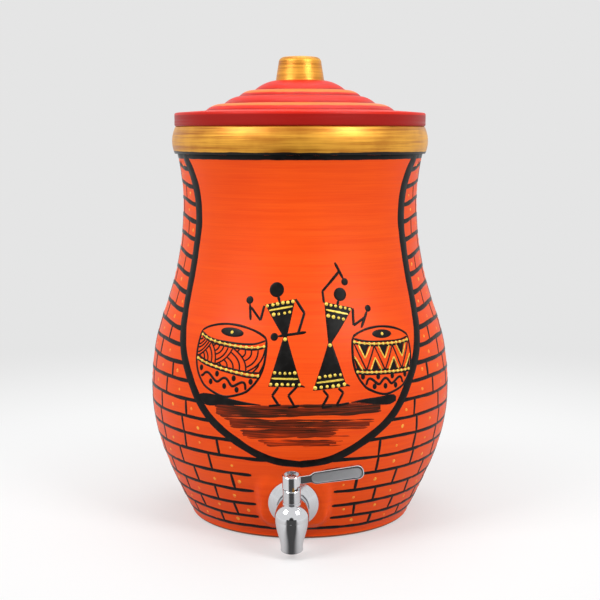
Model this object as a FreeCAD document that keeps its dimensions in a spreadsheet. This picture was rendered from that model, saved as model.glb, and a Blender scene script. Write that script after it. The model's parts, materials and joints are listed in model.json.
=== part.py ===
import FreeCAD, Part
import math
import os
import re
import Sketcher

# Clay water pot with a lift-off lid and a quarter-turn tap, in millimetres.
# The pot stands on the plane Z = 0 with its axis on Z, and the tap points along -Y.
# The tap pieces share a frame on the face of the clay pad: X to the right, -Y out of
# the pot along the barrel and Z along the valve stem, all tipped nose down together.

# Driving dimensions: name, value, what it is
SIZES = [
    # pot, outside
    ("foot_radius", 97.5, "flat ring that the pot stands on"),
    ("foot_edge_radius", 102.0, "where the foot's rounded edge meets the wall"),
    ("foot_edge_height", 3.5, "height of that edge"),
    ("flank_radius", 126.2, "lower wall, half way up to the belly"),
    ("flank_height", 56.0, "height of that place"),
    ("belly_radius", 138.2, "widest place of the pot"),
    ("belly_height", 120.0, "height of the belly"),
    ("belly_curve", 205.0, "radius of the upright curve above the belly"),
    ("waist_radius", 107.4, "narrowest place below the collar"),
    ("waist_height", 290.0, "height of the waist"),
    ("neck_radius", 112.2, "wall just below the collar"),
    ("collar_height", 333.0, "underside of the collar band"),
    ("collar_radius", 114.6, "top and bottom edge of the collar band"),
    ("collar_crown", 28.0, "radius of the collar band's rounded face"),
    ("rim_height", 357.3, "flat top of the rim"),
    ("rim_round", 1.9, "rounding of the rim's outer and inner edge"),
    # pot, inside
    ("wall_thickness", 9.0, "wall of the pot"),
    ("base_thickness", 11.0, "floor of the pot"),
    ("floor_corner_width", 13.0, "rounded corner between floor and wall, across"),
    ("floor_corner_height", 9.0, "rounded corner between floor and wall, up"),
    ("mouth_radius", 103.2, "inside of the mouth"),
    # lid, heights measured from the flat rim of the pot
    ("brim_radius", 114.5, "outside of the lid"),
    ("brim_round", 1.8, "rounded edges of the brim"),
    ("brim_height", 12.4, "top of the brim at its edge"),
    ("brim_inner_radius", 86.2, "where the brim meets the lowest ring"),
    ("brim_inner_height", 14.4, "top of the brim there"),
    ("ring_a_radius", 69.6, "lowest ring, inner edge"),
    ("ring_a_height", 20.4, "lowest ring, top"),
    ("ring_a_crown", 21.0, "lowest ring, radius of its rounded face"),
    ("ring_b_radius", 55.6, "second ring, inner edge"),
    ("ring_b_height", 27.4, "second ring, top"),
    ("ring_b_crown", 24.0, "second ring, radius of its rounded face"),
    ("ring_c_radius", 41.9, "third ring, inner edge"),
    ("ring_c_height", 32.7, "third ring, top"),
    ("ring_c_crown", 16.0, "third ring, radius of its rounded face"),
    ("ring_d_radius", 22.2, "top ring, inner edge"),
    ("ring_d_height", 41.7, "top ring, top"),
    ("ring_d_crown", 36.0, "top ring, radius of its rounded face"),
    ("knob_foot_radius", 21.9, "knob where it leaves the top ring"),
    ("knob_foot_height", 43.0, "height of that place"),
    ("knob_top_radius", 19.6, "knob below its rounded edge"),
    ("knob_edge_height", 57.5, "height of that place"),
    ("knob_edge_width", 5.0, "rounded edge of the knob, across"),
    ("knob_edge_rise", 5.3, "rounded edge of the knob, up"),
    ("knob_dome_rise", 0.9, "crown of the knob's top"),
    ("locating_radius", 100.0, "outside of the locating ring under the lid"),
    ("locating_width", 8.0, "thickness of the locating ring"),
    ("locating_depth", 12.0, "depth of the locating ring"),
    ("locating_round", 2.5, "rounded lower edges of the locating ring"),
    ("lid_hollow_edge", 4.2, "height of the hollow under the lid at its edge"),
    ("lid_hollow_top", 33.5, "height of the hollow under the knob"),
    ("lid_hollow_flat", 20.0, "flat roof of the hollow under the knob"),
    # place of the tap on the pot
    ("tap_reach", 123.0, "axis of the pot to the face of the pad"),
    ("tap_height", 39.2, "height of the barrel's axis on that face"),
    ("tap_tilt", 11.0, "barrel below level, in degrees"),
    ("pad_width", 58.0, "flat face of the clay pad, across"),
    ("pad_tall", 44.5, "flat face of the clay pad, up"),
    ("pad_corner", 12.0, "corner radius of the pad's face"),
    ("pad_flare", 9.0, "how far the pad spreads into the pot all round"),
    ("pad_depth", 13.0, "depth over which it spreads"),
    ("facing_margin", 0.5, "edge of the pad's face that the facing cut leaves"),
    ("cut_overrun", 1.0, "how far a cut runs past the face that it opens"),
    ("seat_radius", 19.5, "flat seat inside the pot for the gasket"),
    ("seat_depth", 14.0, "clay between the pad's face and that seat"),
    ("seat_overlap", 9.0, "how far the seat runs back into the wall"),
    ("tap_hole_radius", 11.25, "hole for the shank"),
    # shank and what clamps it
    ("thread_radius", 10.4775, "half-inch pipe thread, outside"),
    ("thread_pitch", 1.814, "half-inch pipe thread, fourteen to the inch"),
    ("thread_depth", 0.9, "depth of the thread"),
    ("shank_bore_radius", 6.2, "water way in the shank"),
    ("shank_length_in", 33.0, "pad's face to the inner end of the shank"),
    ("thread_turns", 8, "turns of thread that show past the seat"),
    ("thread_clearance", 0.05, "gap round the thread"),
    ("plate_clearance", 0.25, "gap of washers, gaskets and flange round the shank"),
    ("outer_gasket_radius", 14.0, "rubber ring under the flange"),
    ("outer_gasket_thickness", 3.5, "rubber ring under the flange"),
    ("flange_radius", 21.4, "outside of the wall flange"),
    ("flange_web", 1.5, "flat web of the flange"),
    ("flange_lip", 1.4, "edge of the flange"),
    ("flange_sleeve", 1.6, "collar of the flange round the barrel"),
    ("flange_wall", 1.5, "thickness of the flange at its edge"),
    ("flange_nose", 0.6, "flat nose of that collar"),
    ("inner_gasket_radius", 15.0, "rubber ring inside the pot"),
    ("inner_gasket_thickness", 3.0, "rubber ring inside the pot"),
    ("back_washer_radius", 16.5, "flat washer"),
    ("back_washer_thickness", 2.0, "flat washer"),
    ("nut_across_flats", 27.0, "hexagon of the back nut"),
    ("nut_thickness", 8.0, "back nut"),
    ("nut_chamfer", 1.6, "chamfer of the nut's corners"),
    # tap body
    ("stem_reach", 24.0, "pad's face to the axis of the stem"),
    ("barrel_radius", 13.0, "barrel behind the body"),
    ("body_radius", 14.4, "round body under the stem"),
    ("body_centre", 25.5, "pad's face to the centre of the round body"),
    ("socket_end", 15.0, "pad's face to the end of the shank's socket"),
    ("seat_end", 20.5, "pad's face to the end of the seat ring"),
    ("seat_ring_radius", 7.2, "outside of the seat ring"),
    ("seat_ring_clearance", 0.05, "gap round the seat ring"),
    ("port_radius", 4.3, "water way through seat ring and plug"),
    ("boss_radius", 7.9, "round boss under the bonnet"),
    ("boss_height", 14.6, "top of that boss"),
    ("chamber_radius", 6.5, "bore for the valve plug"),
    ("chamber_floor", 8.6, "bottom of that bore below the barrel's axis"),
    ("spout_a_radius", 14.3, "spout at the barrel's axis"),
    ("spout_a_reach", 25.6, "centre of that section"),
    ("spout_b_radius", 13.0, "spout, upper section"),
    ("spout_b_reach", 28.2, "centre of that section"),
    ("spout_b_drop", 8.0, "depth of that section"),
    ("spout_c_radius", 10.4, "spout, middle section"),
    ("spout_c_reach", 30.8, "centre of that section"),
    ("spout_c_drop", 16.5, "depth of that section"),
    ("spout_tip_radius", 9.4, "spout at its mouth"),
    ("spout_tip_reach", 32.0, "centre of the mouth"),
    ("spout_tip_drop", 26.0, "depth of the mouth"),
    ("spout_bore_radius", 6.6, "water way at the mouth"),
    ("spout_bore_top_radius", 6.0, "water way below the plug"),
    ("spout_bore_top_reach", 24.8, "centre of the water way below the plug"),
    # valve and bonnet, heights on the stem axis above the barrel's axis
    ("plug_clearance", 0.07, "gap between plug and chamber, and stem and bonnet"),
    ("plug_end_play", 0.1, "gap above and below the plug"),
    ("plug_top", 8.0, "shoulder of the plug"),
    ("plug_hollow_radius", 4.9, "hollow of the plug"),
    ("plug_hollow_top", 5.4, "roof of that hollow"),
    ("stem_radius", 4.0, "stem of the plug"),
    ("bonnet_radius", 7.5, "outside of the bonnet"),
    ("bonnet_top", 25.8, "top of the bonnet"),
    ("bonnet_round", 0.5, "broken edge of bonnet and hub"),
    ("ring_groove_depth", 1.15, "grooves of the rubber rings in the stem"),
    ("ring_groove_width", 1.5, "grooves of the rubber rings in the stem"),
    ("rubber_ring_radius", 0.58, "section of the rubber rings"),
    ("lower_ring_height", 16.0, "lower rubber ring"),
    ("upper_ring_height", 20.5, "upper rubber ring"),
    ("friction_washer_radius", 5.1, "friction washer"),
    ("friction_washer_thickness", 0.8, "friction washer, the dark line under the hub"),
    ("drive_width", 5.6, "square end of the stem"),
    ("drive_top", 33.5, "top of the square"),
    ("drive_clearance", 0.05, "gap round the square"),
    ("tapped_hole_radius", 2.0, "screw thread in the stem"),
    ("tapped_hole_depth", 7.0, "depth of that hole"),
    ("screw_clearance", 0.04, "gap round the screw in the stem"),
    ("stop_pin_radius", 0.9, "stop pin"),
    ("stop_pin_reach", 6.1, "stem axis to the stop pin"),
    ("stop_pin_angle", 16.0, "stop pin, degrees right of the front"),
    ("stop_pin_foot", 21.5, "lower end of the pin in the bonnet"),
    ("stop_pin_top", 29.4, "upper end of the pin"),
    ("stop_pin_fit", 0.02, "gap round the pin in its hole"),
    ("lever_swing", 90.0, "travel of the lever, in degrees"),
    ("notch_clearance", 0.6, "degrees between the pin and the end of the notch"),
    ("notch_core_radius", 5.15, "hub inside the notch"),
    ("notch_top", 30.0, "roof of the notch"),
    # hub, lever and screw
    ("hub_radius", 7.8, "hub of the lever"),
    ("hub_top", 38.7, "top edge of the hub"),
    ("hub_recess_radius", 6.1, "recess in the hub's top"),
    ("hub_recess_floor", 36.3, "floor of that recess"),
    ("lever_height", 32.9, "centre of the lever's root on the stem axis"),
    ("lever_rise", 9.5, "lever above level, in degrees"),
    ("lever_length", 60.3, "stem axis to the end of the lever"),
    ("lever_thickness", 3.6, "lever, front to back"),
    ("lever_root_half", 3.4, "half the height of the lever's root"),
    ("lever_root_end", 14.8, "where the root starts to widen"),
    ("lever_plate_start", 20.8, "where the plate has its height"),
    ("lever_plate_half", 5.4, "half the height of the plate there"),
    ("lever_end_half", 6.1, "half the height of the plate near its end"),
    ("lever_end_round", 5.2, "rounded corners of the lever's end"),
    ("lever_edge_round", 0.6, "rounded long edges of the lever"),
    ("lever_panel_start", 16.9, "recessed panel of the lever, near end"),
    ("lever_panel_end", 58.7, "recessed panel of the lever, far end"),
    ("lever_panel_half", 4.3, "half the height of that panel"),
    ("lever_panel_depth", 0.5, "depth of that panel"),
    ("screw_head_radius", 4.0, "head of the handle screw"),
    ("screw_head_edge", 1.1, "edge of the head"),
    ("screw_head_height", 2.0, "head of the handle screw"),
    ("screw_length", 8.3, "screw below its head"),
    ("screw_hole_radius", 2.25, "hole in the hub"),
    ("screw_slot_width", 1.0, "cross slot of the screw"),
    ("screw_slot_length", 4.6, "cross slot of the screw"),
    ("screw_slot_depth", 1.1, "cross slot of the screw"),
]

UPRIGHT = "XZ_Plane"
LENGTHWISE = "YZ_Plane"
LEVEL = "XY_Plane"
LEFT = 1
RIGHT = -1

doc = FreeCAD.newDocument("water_pot")
sheet = doc.addObject("Spreadsheet::Sheet", "Sizes")
for row, (alias, size, note) in enumerate(SIZES, start=1):
    sheet.set(f"A{row}", alias)
    sheet.set(f"B{row}", str(size))
    sheet.set(f"C{row}", note)
    sheet.setAlias(f"B{row}", alias)
doc.recompute()


def on_sheet(formula):
    """Formula with each size, a word with an underscore, looked up on the sheet."""
    return re.sub(r"\b[a-z]+(_[a-z]+)+\b", r"Sizes.\g<0>", str(formula))


def value(formula):
    """Number that a formula gives now."""
    result = sheet.evalExpression(on_sheet(formula))
    return float(getattr(result, "Value", result))


def bind(thing, **formulas):
    """Tie properties of an object to formulas over the sheet."""
    for name, formula in formulas.items():
        thing.setExpression(name, on_sheet(formula))


def put(thing, reach, height, tilt):
    """Place an object at -Y reach and Z height, tipped about X by tilt."""
    thing.Placement = FreeCAD.Placement(
        FreeCAD.Vector(0, -value(reach), value(height)),
        FreeCAD.Rotation(FreeCAD.Vector(1, 0, 0), value(tilt)))
    thing.setExpression("Placement.Base.y", on_sheet(f"-({reach})"))
    thing.setExpression("Placement.Base.z", on_sheet(height))
    thing.setExpression("Placement.Rotation.Angle", on_sheet(tilt))
    return thing


def on_pad(thing, out="0"):
    """Place an object in the tap's frame, moved out along the barrel."""
    return put(thing, f"tap_reach + ({out})*cos(tap_tilt)",
               f"tap_height - ({out})*sin(tap_tilt)", "tap_tilt")


def on_stem(thing, up="0"):
    """Place an object on the stem axis, moved up along it."""
    return put(thing, f"tap_reach + stem_reach*cos(tap_tilt) + ({up})*sin(tap_tilt)",
               f"tap_height - stem_reach*sin(tap_tilt) + ({up})*cos(tap_tilt)", "tap_tilt")


def lie_along_barrel(bar, out):
    """Turn an upright bar so that it runs along the barrel from out, away from the pot."""
    on_pad(bar, out)
    bar.setExpression("Placement.Rotation.Angle", on_sheet("90 + tap_tilt"))
    return bar


def body(label):
    """New body with a label of its own."""
    piece = doc.addObject("PartDesign::Body", label)
    piece.Label = label
    return piece


def plane(piece, role):
    """Origin plane of a body."""
    return next(item for item in piece.Origin.OriginFeatures if item.Role == role)


def side_geometry(start, end, radius, turn):
    """Straight side, or arc with its centre left or right of the way from start to end."""
    if radius is None:
        return Part.LineSegment(start, end), (1, 2)
    half = (end - start) * 0.5
    left = FreeCAD.Vector(-half.y, half.x, 0).normalize()
    centre = start + half + left * turn * math.sqrt(max(radius**2 - half.Length**2, 0))
    angles = [math.atan2(point.y - centre.y, point.x - centre.x) for point in (start, end)]
    if turn == RIGHT:
        angles.reverse()
    if angles[1] < angles[0]:
        angles[1] += 2 * math.pi
    circle = Part.Circle(centre, FreeCAD.Vector(0, 0, 1), radius)
    return Part.ArcOfCircle(circle, *angles), (1, 2) if turn == LEFT else (2, 1)


def outline(piece, role, corners, name="outline"):
    """Closed sketch through corners: (across, along), and radius and turn of an arc.

    A radius that comes out below zero turns the arc over to the other side.
    """
    sketch = piece.newObject("Sketcher::SketchObject", f"{piece.Label}_{name}")
    sketch.AttachmentSupport = [(plane(piece, role), "")]
    sketch.MapMode = "FlatFace"
    points = [FreeCAD.Vector(value(corner[0]), value(corner[1]), 0) for corner in corners]
    count = len(corners)
    ends = []
    for index, corner in enumerate(corners):
        radius, turn = (value(corner[2]), corner[3]) if len(corner) > 2 else (None, LEFT)
        if radius and radius < 0:
            radius, turn = -radius, -turn
        geometry, order = side_geometry(points[index], points[(index + 1) % count], radius, turn)
        sketch.addGeometry(geometry, False)
        ends.append(order)
    for index, corner in enumerate(corners):
        following = (index + 1) % count
        sketch.addConstraint(
            Sketcher.Constraint("Coincident", index, ends[index][1], following, ends[following][0]))
        for kind, size in (("DistanceX", corner[0]), ("DistanceY", corner[1])):
            number = sketch.addConstraint(
                Sketcher.Constraint(kind, -1, 1, index, ends[index][0], value(size)))
            if str(size) != "0":
                sketch.setExpression(f"Constraints[{number}]", on_sheet(size))
        if len(corner) > 2:
            radius = f"abs({corner[2]})"
            number = sketch.addConstraint(Sketcher.Constraint("Radius", index, value(radius)))
            sketch.setExpression(f"Constraints[{number}]", on_sheet(radius))
    return sketch


def disc(piece, role, radius, centre=("0", "0"), offset=None, name="disc"):
    """Round sketch, moved off its plane by offset."""
    sketch = piece.newObject("Sketcher::SketchObject", f"{piece.Label}_{name}")
    sketch.AttachmentSupport = [(plane(piece, role), "")]
    sketch.MapMode = "FlatFace"
    middle = FreeCAD.Vector(value(centre[0]), value(centre[1]), 0)
    sketch.addGeometry(Part.Circle(middle, FreeCAD.Vector(0, 0, 1), value(radius)), False)
    settings = (("Radius", radius, (0,)), ("DistanceX", centre[0], (-1, 1, 0, 3)),
                ("DistanceY", centre[1], (-1, 1, 0, 3)))
    for kind, size, where in settings:
        number = sketch.addConstraint(Sketcher.Constraint(kind, *where, value(size)))
        if str(size) != "0":
            sketch.setExpression(f"Constraints[{number}]", on_sheet(size))
    if offset:
        sketch.setExpression("AttachmentOffset.Base.z", on_sheet(offset))
    return sketch


def turn_round(piece, sketch, axis="V_Axis", cut=False):
    """Turn a sketch about its own axis, as clay on a wheel or brass on a lathe."""
    kind = "PartDesign::Groove" if cut else "PartDesign::Revolution"
    feature = piece.newObject(kind, f"{sketch.Label}_turned")
    feature.Profile = sketch
    feature.ReferenceAxis = (sketch, [axis])
    feature.Angle = 360
    return feature


def turned(label, corners, role=UPRIGHT):
    """Body with one turned outline, about Z or, lengthwise, about Y."""
    piece = body(label)
    turn_round(piece, outline(piece, role, corners), "V_Axis" if role == UPRIGHT else "H_Axis")
    return piece


def ring(label, inner, outer, start, end):
    """Flat ring round the shank, from start to end along Y."""
    return on_pad(turned(label, [(start, inner), (end, inner), (end, outer), (start, outer)],
                         LENGTHWISE))


def cut(label, base, tool):
    """Base less tool."""
    result = doc.addObject("Part::Cut", label)
    result.Label = label
    result.Base = base
    result.Tool = tool
    return result


def join(label, *pieces):
    """One solid of several."""
    result = doc.addObject("Part::MultiFuse", label)
    result.Label = label
    result.Shapes = list(pieces)
    return result


def cylinder(label, radius, height):
    """Round bar, upright until it is placed."""
    bar = doc.addObject("Part::Cylinder", label)
    bind(bar, Radius=radius, Height=height)
    return bar


def rounded_box(label, width, height, corner, spread, start, end):
    """Tapered pad along Y: its face at start, and spread wider all round at end."""
    piece = body(label)
    faces = []
    for name, place, grow in (("face", start, "0"), ("root", end, spread)):
        half_x = f"({width})/2 + {grow}"
        half_z = f"({height})/2 + {grow}"
        in_x = f"({width})/2 - {corner}"
        in_z = f"({height})/2 - {corner}"
        arc = f"{corner} + {grow}"
        corners = [
            (in_x, f"-({half_z})", arc, LEFT), (half_x, f"-({in_z})"),
            (half_x, in_z, arc, LEFT), (in_x, half_z),
            (f"-({in_x})", half_z, arc, LEFT), (f"-({half_x})", in_z),
            (f"-({half_x})", f"-({in_z})", arc, LEFT), (f"-({in_x})", f"-({half_z})")]
        sketch = outline(piece, UPRIGHT, corners, name)
        sketch.setExpression("AttachmentOffset.Base.z", on_sheet(f"-({place})"))
        faces.append(sketch)
    loft = piece.newObject("PartDesign::AdditiveLoft", f"{label}_loft")
    loft.Profile = faces[0]
    loft.Sections = faces[1:]
    loft.Ruled = True
    return piece


# Curves of the pot's wall. The belly and the waist are upright there, and each curve
# runs into the next without a corner.
LOW_CURVE = ("(((belly_height - flank_height)^2 + (belly_radius - flank_radius)^2)"
             "/(2*(belly_radius - flank_radius)))")
LOW_ACROSS = f"((flank_radius - belly_radius + {LOW_CURVE})/{LOW_CURVE})"
LOW_UP = f"((flank_height - belly_height)/{LOW_CURVE})"
FOOT_CURVE = ("(((foot_edge_radius - flank_radius)^2 + (foot_edge_height - flank_height)^2)"
              f"/(-2*((foot_edge_radius - flank_radius)*{LOW_ACROSS}"
              f" + (foot_edge_height - flank_height)*{LOW_UP})))")
SWELL = "(belly_radius - waist_radius)"
SWELL_UP = "(waist_height - belly_height)"
CURVES = f"(({SWELL}^2 + {SWELL_UP}^2)/(2*{SWELL}))"
WAIST_CURVE = f"({CURVES} - belly_curve)"
SWAP_RADIUS = f"(belly_radius - belly_curve*{SWELL}/{CURVES})"
SWAP_HEIGHT = f"(belly_height + belly_curve*{SWELL_UP}/{CURVES})"
SWAP_ACROSS = f"(({CURVES} - {SWELL})/{CURVES})"
SWAP_UP = f"({SWELL_UP}/{CURVES})"


def upright_arc(across, up):
    """Radius of an arc that is upright at one end and goes across and up to the other."""
    return f"(((({across})^2) + (({up})^2))/(2*({across})))"


NECK_CURVE = upright_arc("neck_radius - waist_radius", "collar_height - waist_height")
COLLAR_TOP = "(rim_height - rim_round)"


def make_pot():
    """Thrown pot: outside less inside, with the tap's pad, inner seat and hole."""
    outside = turned("pot_outside", [
        ("0", "0"),
        ("foot_radius", "0",
         upright_arc("foot_edge_height", "foot_edge_radius - foot_radius"), LEFT),
        ("foot_edge_radius", "foot_edge_height", FOOT_CURVE, LEFT),
        ("flank_radius", "flank_height", LOW_CURVE, LEFT),
        ("belly_radius", "belly_height", "belly_curve", LEFT),
        (SWAP_RADIUS, SWAP_HEIGHT, WAIST_CURVE, RIGHT),
        ("waist_radius", "waist_height", NECK_CURVE, RIGHT),
        ("neck_radius", "collar_height"),
        ("collar_radius", "collar_height", "collar_crown", LEFT),
        ("collar_radius", COLLAR_TOP, "rim_round", LEFT),
        ("collar_radius - rim_round", "rim_height"),
        ("0", "rim_height")])
    inner_waist = "(waist_radius - wall_thickness)"
    rise = "(rim_height - rim_round - waist_height)"
    corner_top = "(base_thickness + floor_corner_height)"
    corner_radius = (f"(foot_edge_radius - wall_thickness + ({corner_top} - foot_edge_height)"
                     "*(flank_radius - foot_edge_radius)/(flank_height - foot_edge_height))")
    inside = turned("pot_inside", [
        ("0", "base_thickness"),
        (f"{corner_radius} - floor_corner_width", "base_thickness",
         upright_arc("floor_corner_height", "floor_corner_width"), LEFT),
        (corner_radius, corner_top, f"{FOOT_CURVE} - wall_thickness", LEFT),
        (f"flank_radius - wall_thickness*{LOW_ACROSS}", f"flank_height - wall_thickness*{LOW_UP}",
         f"{LOW_CURVE} - wall_thickness", LEFT),
        ("belly_radius - wall_thickness", "belly_height", "belly_curve - wall_thickness", LEFT),
        (f"{SWAP_RADIUS} - wall_thickness*{SWAP_ACROSS}",
         f"{SWAP_HEIGHT} - wall_thickness*{SWAP_UP}", f"{WAIST_CURVE} + wall_thickness", RIGHT),
        (inner_waist, "waist_height", upright_arc(f"mouth_radius - {inner_waist}", rise), RIGHT),
        ("mouth_radius", "rim_height - rim_round", "rim_round", RIGHT),
        ("mouth_radius + rim_round", "rim_height"),
        ("0", "rim_height")])
    pad = on_pad(rounded_box("pad_lump", "pad_width", "pad_tall", "pad_corner",
                             "pad_flare", "0", "pad_depth"))
    facing = on_pad(rounded_box("pad_facing", "pad_width - 2*facing_margin",
                                "pad_tall - 2*facing_margin", "pad_corner",
                                "pad_flare", "0", "-pad_depth"))
    spot_face = lie_along_barrel(cylinder("spot_face", "seat_radius", "seat_depth"),
                                 "-2*seat_depth")
    seat = lie_along_barrel(cylinder("inner_seat", "seat_radius", "seat_overlap"), "-seat_depth")
    hole = lie_along_barrel(cylinder("tap_hole", "tap_hole_radius", "seat_depth + 2*pad_depth"),
                            "-seat_depth - pad_depth")
    shell = cut("pot_shell", join("pot_lump", outside, pad), inside)
    faced = cut("pot_faced", cut("pot_flattened", shell, facing), spot_face)
    return cut("pot_body", join("pot_seated", faced, seat), hole)


def make_lid():
    """Lid with a flat brim, four rounded rings, a knob and a locating ring below."""
    base = "rim_height"
    steps = [("brim_inner_radius", "brim_inner_height")]
    steps += [(f"ring_{name}_radius", f"ring_{name}_height") for name in "abcd"]
    rings = [(radius, f"{base} + {height}", f"ring_{name}_crown", LEFT)
             for (radius, height), name in zip(steps, "abcd")]
    ring_floor = f"{base} - locating_depth"
    inner = "(locating_radius - locating_width)"
    return turned("lid", [
        ("0", f"{base} + lid_hollow_top"),
        ("lid_hollow_flat", f"{base} + lid_hollow_top"),
        (inner, f"{base} + lid_hollow_edge"),
        (inner, f"{ring_floor} + locating_round", "locating_round", LEFT),
        (f"{inner} + locating_round", ring_floor),
        ("locating_radius - locating_round", ring_floor, "locating_round", LEFT),
        ("locating_radius", f"{ring_floor} + locating_round"),
        ("locating_radius", base),
        ("brim_radius - brim_round", base, "brim_round", LEFT),
        ("brim_radius", f"{base} + brim_round"),
        ("brim_radius", f"{base} + brim_height - brim_round", "brim_round", LEFT),
        ("brim_radius - brim_round", f"{base} + brim_height"),
        *rings,
        ("ring_d_radius", f"{base} + ring_d_height"),
        ("knob_foot_radius", f"{base} + knob_foot_height"),
        ("knob_top_radius", f"{base} + knob_edge_height",
         upright_arc("knob_edge_width", "knob_edge_rise"), LEFT),
        ("knob_top_radius - knob_edge_width", f"{base} + knob_edge_height + knob_edge_rise",
         upright_arc("knob_dome_rise", "knob_top_radius - knob_edge_width"), LEFT),
        ("0", f"{base} + knob_edge_height + knob_edge_rise + knob_dome_rise")])


def make_shank():
    """Threaded nipple through the wall, its thread cut as rings past the seat."""
    thread = []
    for number in range(int(value("thread_turns"))):
        turn_end = f"shank_length_in - {number}*thread_pitch"
        thread.append((turn_end, "thread_radius - thread_depth"))
        thread.append((f"{turn_end} - thread_pitch/2", "thread_radius"))
    thread.append(("shank_length_in - thread_turns*thread_pitch", "thread_radius - thread_depth"))
    thread.append(("shank_length_in - thread_turns*thread_pitch - thread_depth", "thread_radius"))
    return on_pad(turned("threaded_shank", [
        ("-socket_end", "shank_bore_radius"), ("shank_length_in", "shank_bore_radius"),
        *thread, ("-socket_end", "thread_radius")], LENGTHWISE))


def make_clamping_rings():
    """Gaskets and washer on the shank."""
    bore = "thread_radius + plate_clearance"
    ring("outer_gasket", bore, "outer_gasket_radius", "-outer_gasket_thickness", "0")
    ring("inner_gasket", bore, "inner_gasket_radius",
         "seat_depth", "seat_depth + inner_gasket_thickness")
    ring("back_washer", bore, "back_washer_radius", "seat_depth + inner_gasket_thickness",
         "seat_depth + inner_gasket_thickness + back_washer_thickness")


def make_flange():
    """Dished plate: its web is held between barrel and gasket, its edge on the pad."""
    web_back = "outer_gasket_thickness"
    web_front = "(outer_gasket_thickness + flange_web)"
    front = f"({web_front} + flange_sleeve)"
    sleeve = "(barrel_radius + plate_clearance)"
    return on_pad(turned("wall_flange", [
        (f"-{web_back}", "thread_radius + plate_clearance"),
        (f"-{web_back}", "outer_gasket_radius + plate_clearance"),
        ("0", "flange_radius - flange_wall"),
        ("0", "flange_radius"),
        ("-flange_lip", "flange_radius"),
        (f"-{front}", f"{sleeve} + flange_nose"),
        (f"-{front}", sleeve),
        (f"-{web_front}", sleeve),
        (f"-{web_front}", "thread_radius + plate_clearance")], LENGTHWISE))


def make_nut():
    """Hexagon nut on the shank, its corners chamfered."""
    start = "(seat_depth + inner_gasket_thickness + back_washer_thickness)"
    end = f"({start} + nut_thickness)"
    corner = "(nut_across_flats/sqrt(3))"
    hexagon = doc.addObject("Part::Prism", "nut_hexagon")
    hexagon.Polygon = 6
    bind(hexagon, Circumradius=corner, Height="nut_thickness")
    lie_along_barrel(hexagon, f"-{end}")
    blank = on_pad(turned("nut_blank", [
        (start, "thread_radius + thread_clearance"), (end, "thread_radius + thread_clearance"),
        (end, f"{corner} - nut_chamfer"), (f"{end} - nut_chamfer/2", corner),
        (f"{start} + nut_chamfer/2", corner), (start, f"{corner} - nut_chamfer")], LENGTHWISE))
    nut = doc.addObject("Part::Common", "back_nut")
    nut.Label = "back_nut"
    nut.Base = blank
    nut.Tool = hexagon
    return nut


def make_tap_body():
    """Casting with barrel, round body, boss and spout, and its bores."""
    piece = body("tap_body")
    back = "(outer_gasket_thickness + flange_web)"
    turn_round(piece, outline(piece, LENGTHWISE, [
        (f"-{back}", "0"), ("-body_centre - body_radius", "0", "body_radius", RIGHT),
        ("-body_centre", "body_radius"), ("-body_centre + body_radius/2", "body_radius"),
        (f"-{back} - body_radius/2", "barrel_radius"), (f"-{back}", "barrel_radius")],
        "barrel"), "H_Axis")
    boss = piece.newObject("PartDesign::Pad", "tap_boss")
    boss.Profile = disc(piece, LEVEL, "boss_radius", ("0", "-stem_reach"), name="boss")
    bind(boss, Length="boss_height")
    spout = piece.newObject("PartDesign::AdditiveLoft", "tap_spout")
    sections = [disc(piece, LEVEL, f"spout_{name}_radius", ("0", f"-spout_{name}_reach"),
                     drop, f"spout_{name}")
                for name, drop in (("a", None), ("b", "-spout_b_drop"), ("c", "-spout_c_drop"),
                                   ("tip", "-spout_tip_drop"))]
    spout.Profile = sections[0]
    spout.Sections = sections[1:]
    chamber = piece.newObject("PartDesign::Pocket", "tap_chamber")
    chamber.Profile = disc(piece, LEVEL, "chamber_radius", ("0", "-stem_reach"),
                           "boss_height", "chamber")
    bind(chamber, Length="boss_height + chamber_floor")
    way_out = piece.newObject("PartDesign::SubtractiveLoft", "tap_way_out")
    way_out.Profile = disc(piece, LEVEL, "spout_bore_top_radius", ("0", "-spout_bore_top_reach"),
                           "plug_end_play - chamber_floor", "way_out_top")
    way_out.Sections = [disc(piece, LEVEL, "spout_bore_radius", ("0", "-spout_tip_reach"),
                             "-spout_tip_drop", "way_out_mouth")]
    way_out.Ruled = True
    turn_round(piece, outline(piece, LENGTHWISE, [
        (f"-{back}", "0"), (f"-{back}", "thread_radius + thread_clearance"),
        ("-socket_end", "thread_radius + thread_clearance"),
        ("-socket_end", "seat_ring_radius + seat_ring_clearance"),
        ("-seat_end", "seat_ring_radius + seat_ring_clearance"), ("-seat_end", "port_radius"),
        ("-stem_reach", "port_radius"), ("-stem_reach", "0")], "way_in"), "H_Axis", cut=True)
    return on_pad(piece)


def make_seat_ring():
    """Ring at the inlet, hollowed to the round of the valve plug."""
    blank = ring("seat_blank", "port_radius", "seat_ring_radius", "-seat_end", "-socket_end")
    bore = on_stem(cylinder("seat_bore", "chamber_radius", "4*seat_ring_radius"),
                   "-2*seat_ring_radius")
    return cut("seat_ring", blank, bore)


def make_bonnet():
    """Collar that the stem turns in, with the hole of the stop pin."""
    spigot = "(chamber_radius - thread_clearance)"
    stem_bore = "(stem_radius + plug_clearance)"
    shell = on_stem(turned("bonnet_shell", [
        (stem_bore, "plug_top + plug_end_play"), (spigot, "plug_top + plug_end_play"),
        (spigot, "boss_height"), ("bonnet_radius", "boss_height"),
        ("bonnet_radius", "bonnet_top - bonnet_round"),
        ("bonnet_radius - bonnet_round", "bonnet_top"), (stem_bore, "bonnet_top")]))
    hole = beside_stem(cylinder("stop_pin_hole", "stop_pin_radius + stop_pin_fit",
                                "bonnet_top - stop_pin_foot + cut_overrun"), "stop_pin_foot")
    return cut("bonnet", shell, hole)


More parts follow.
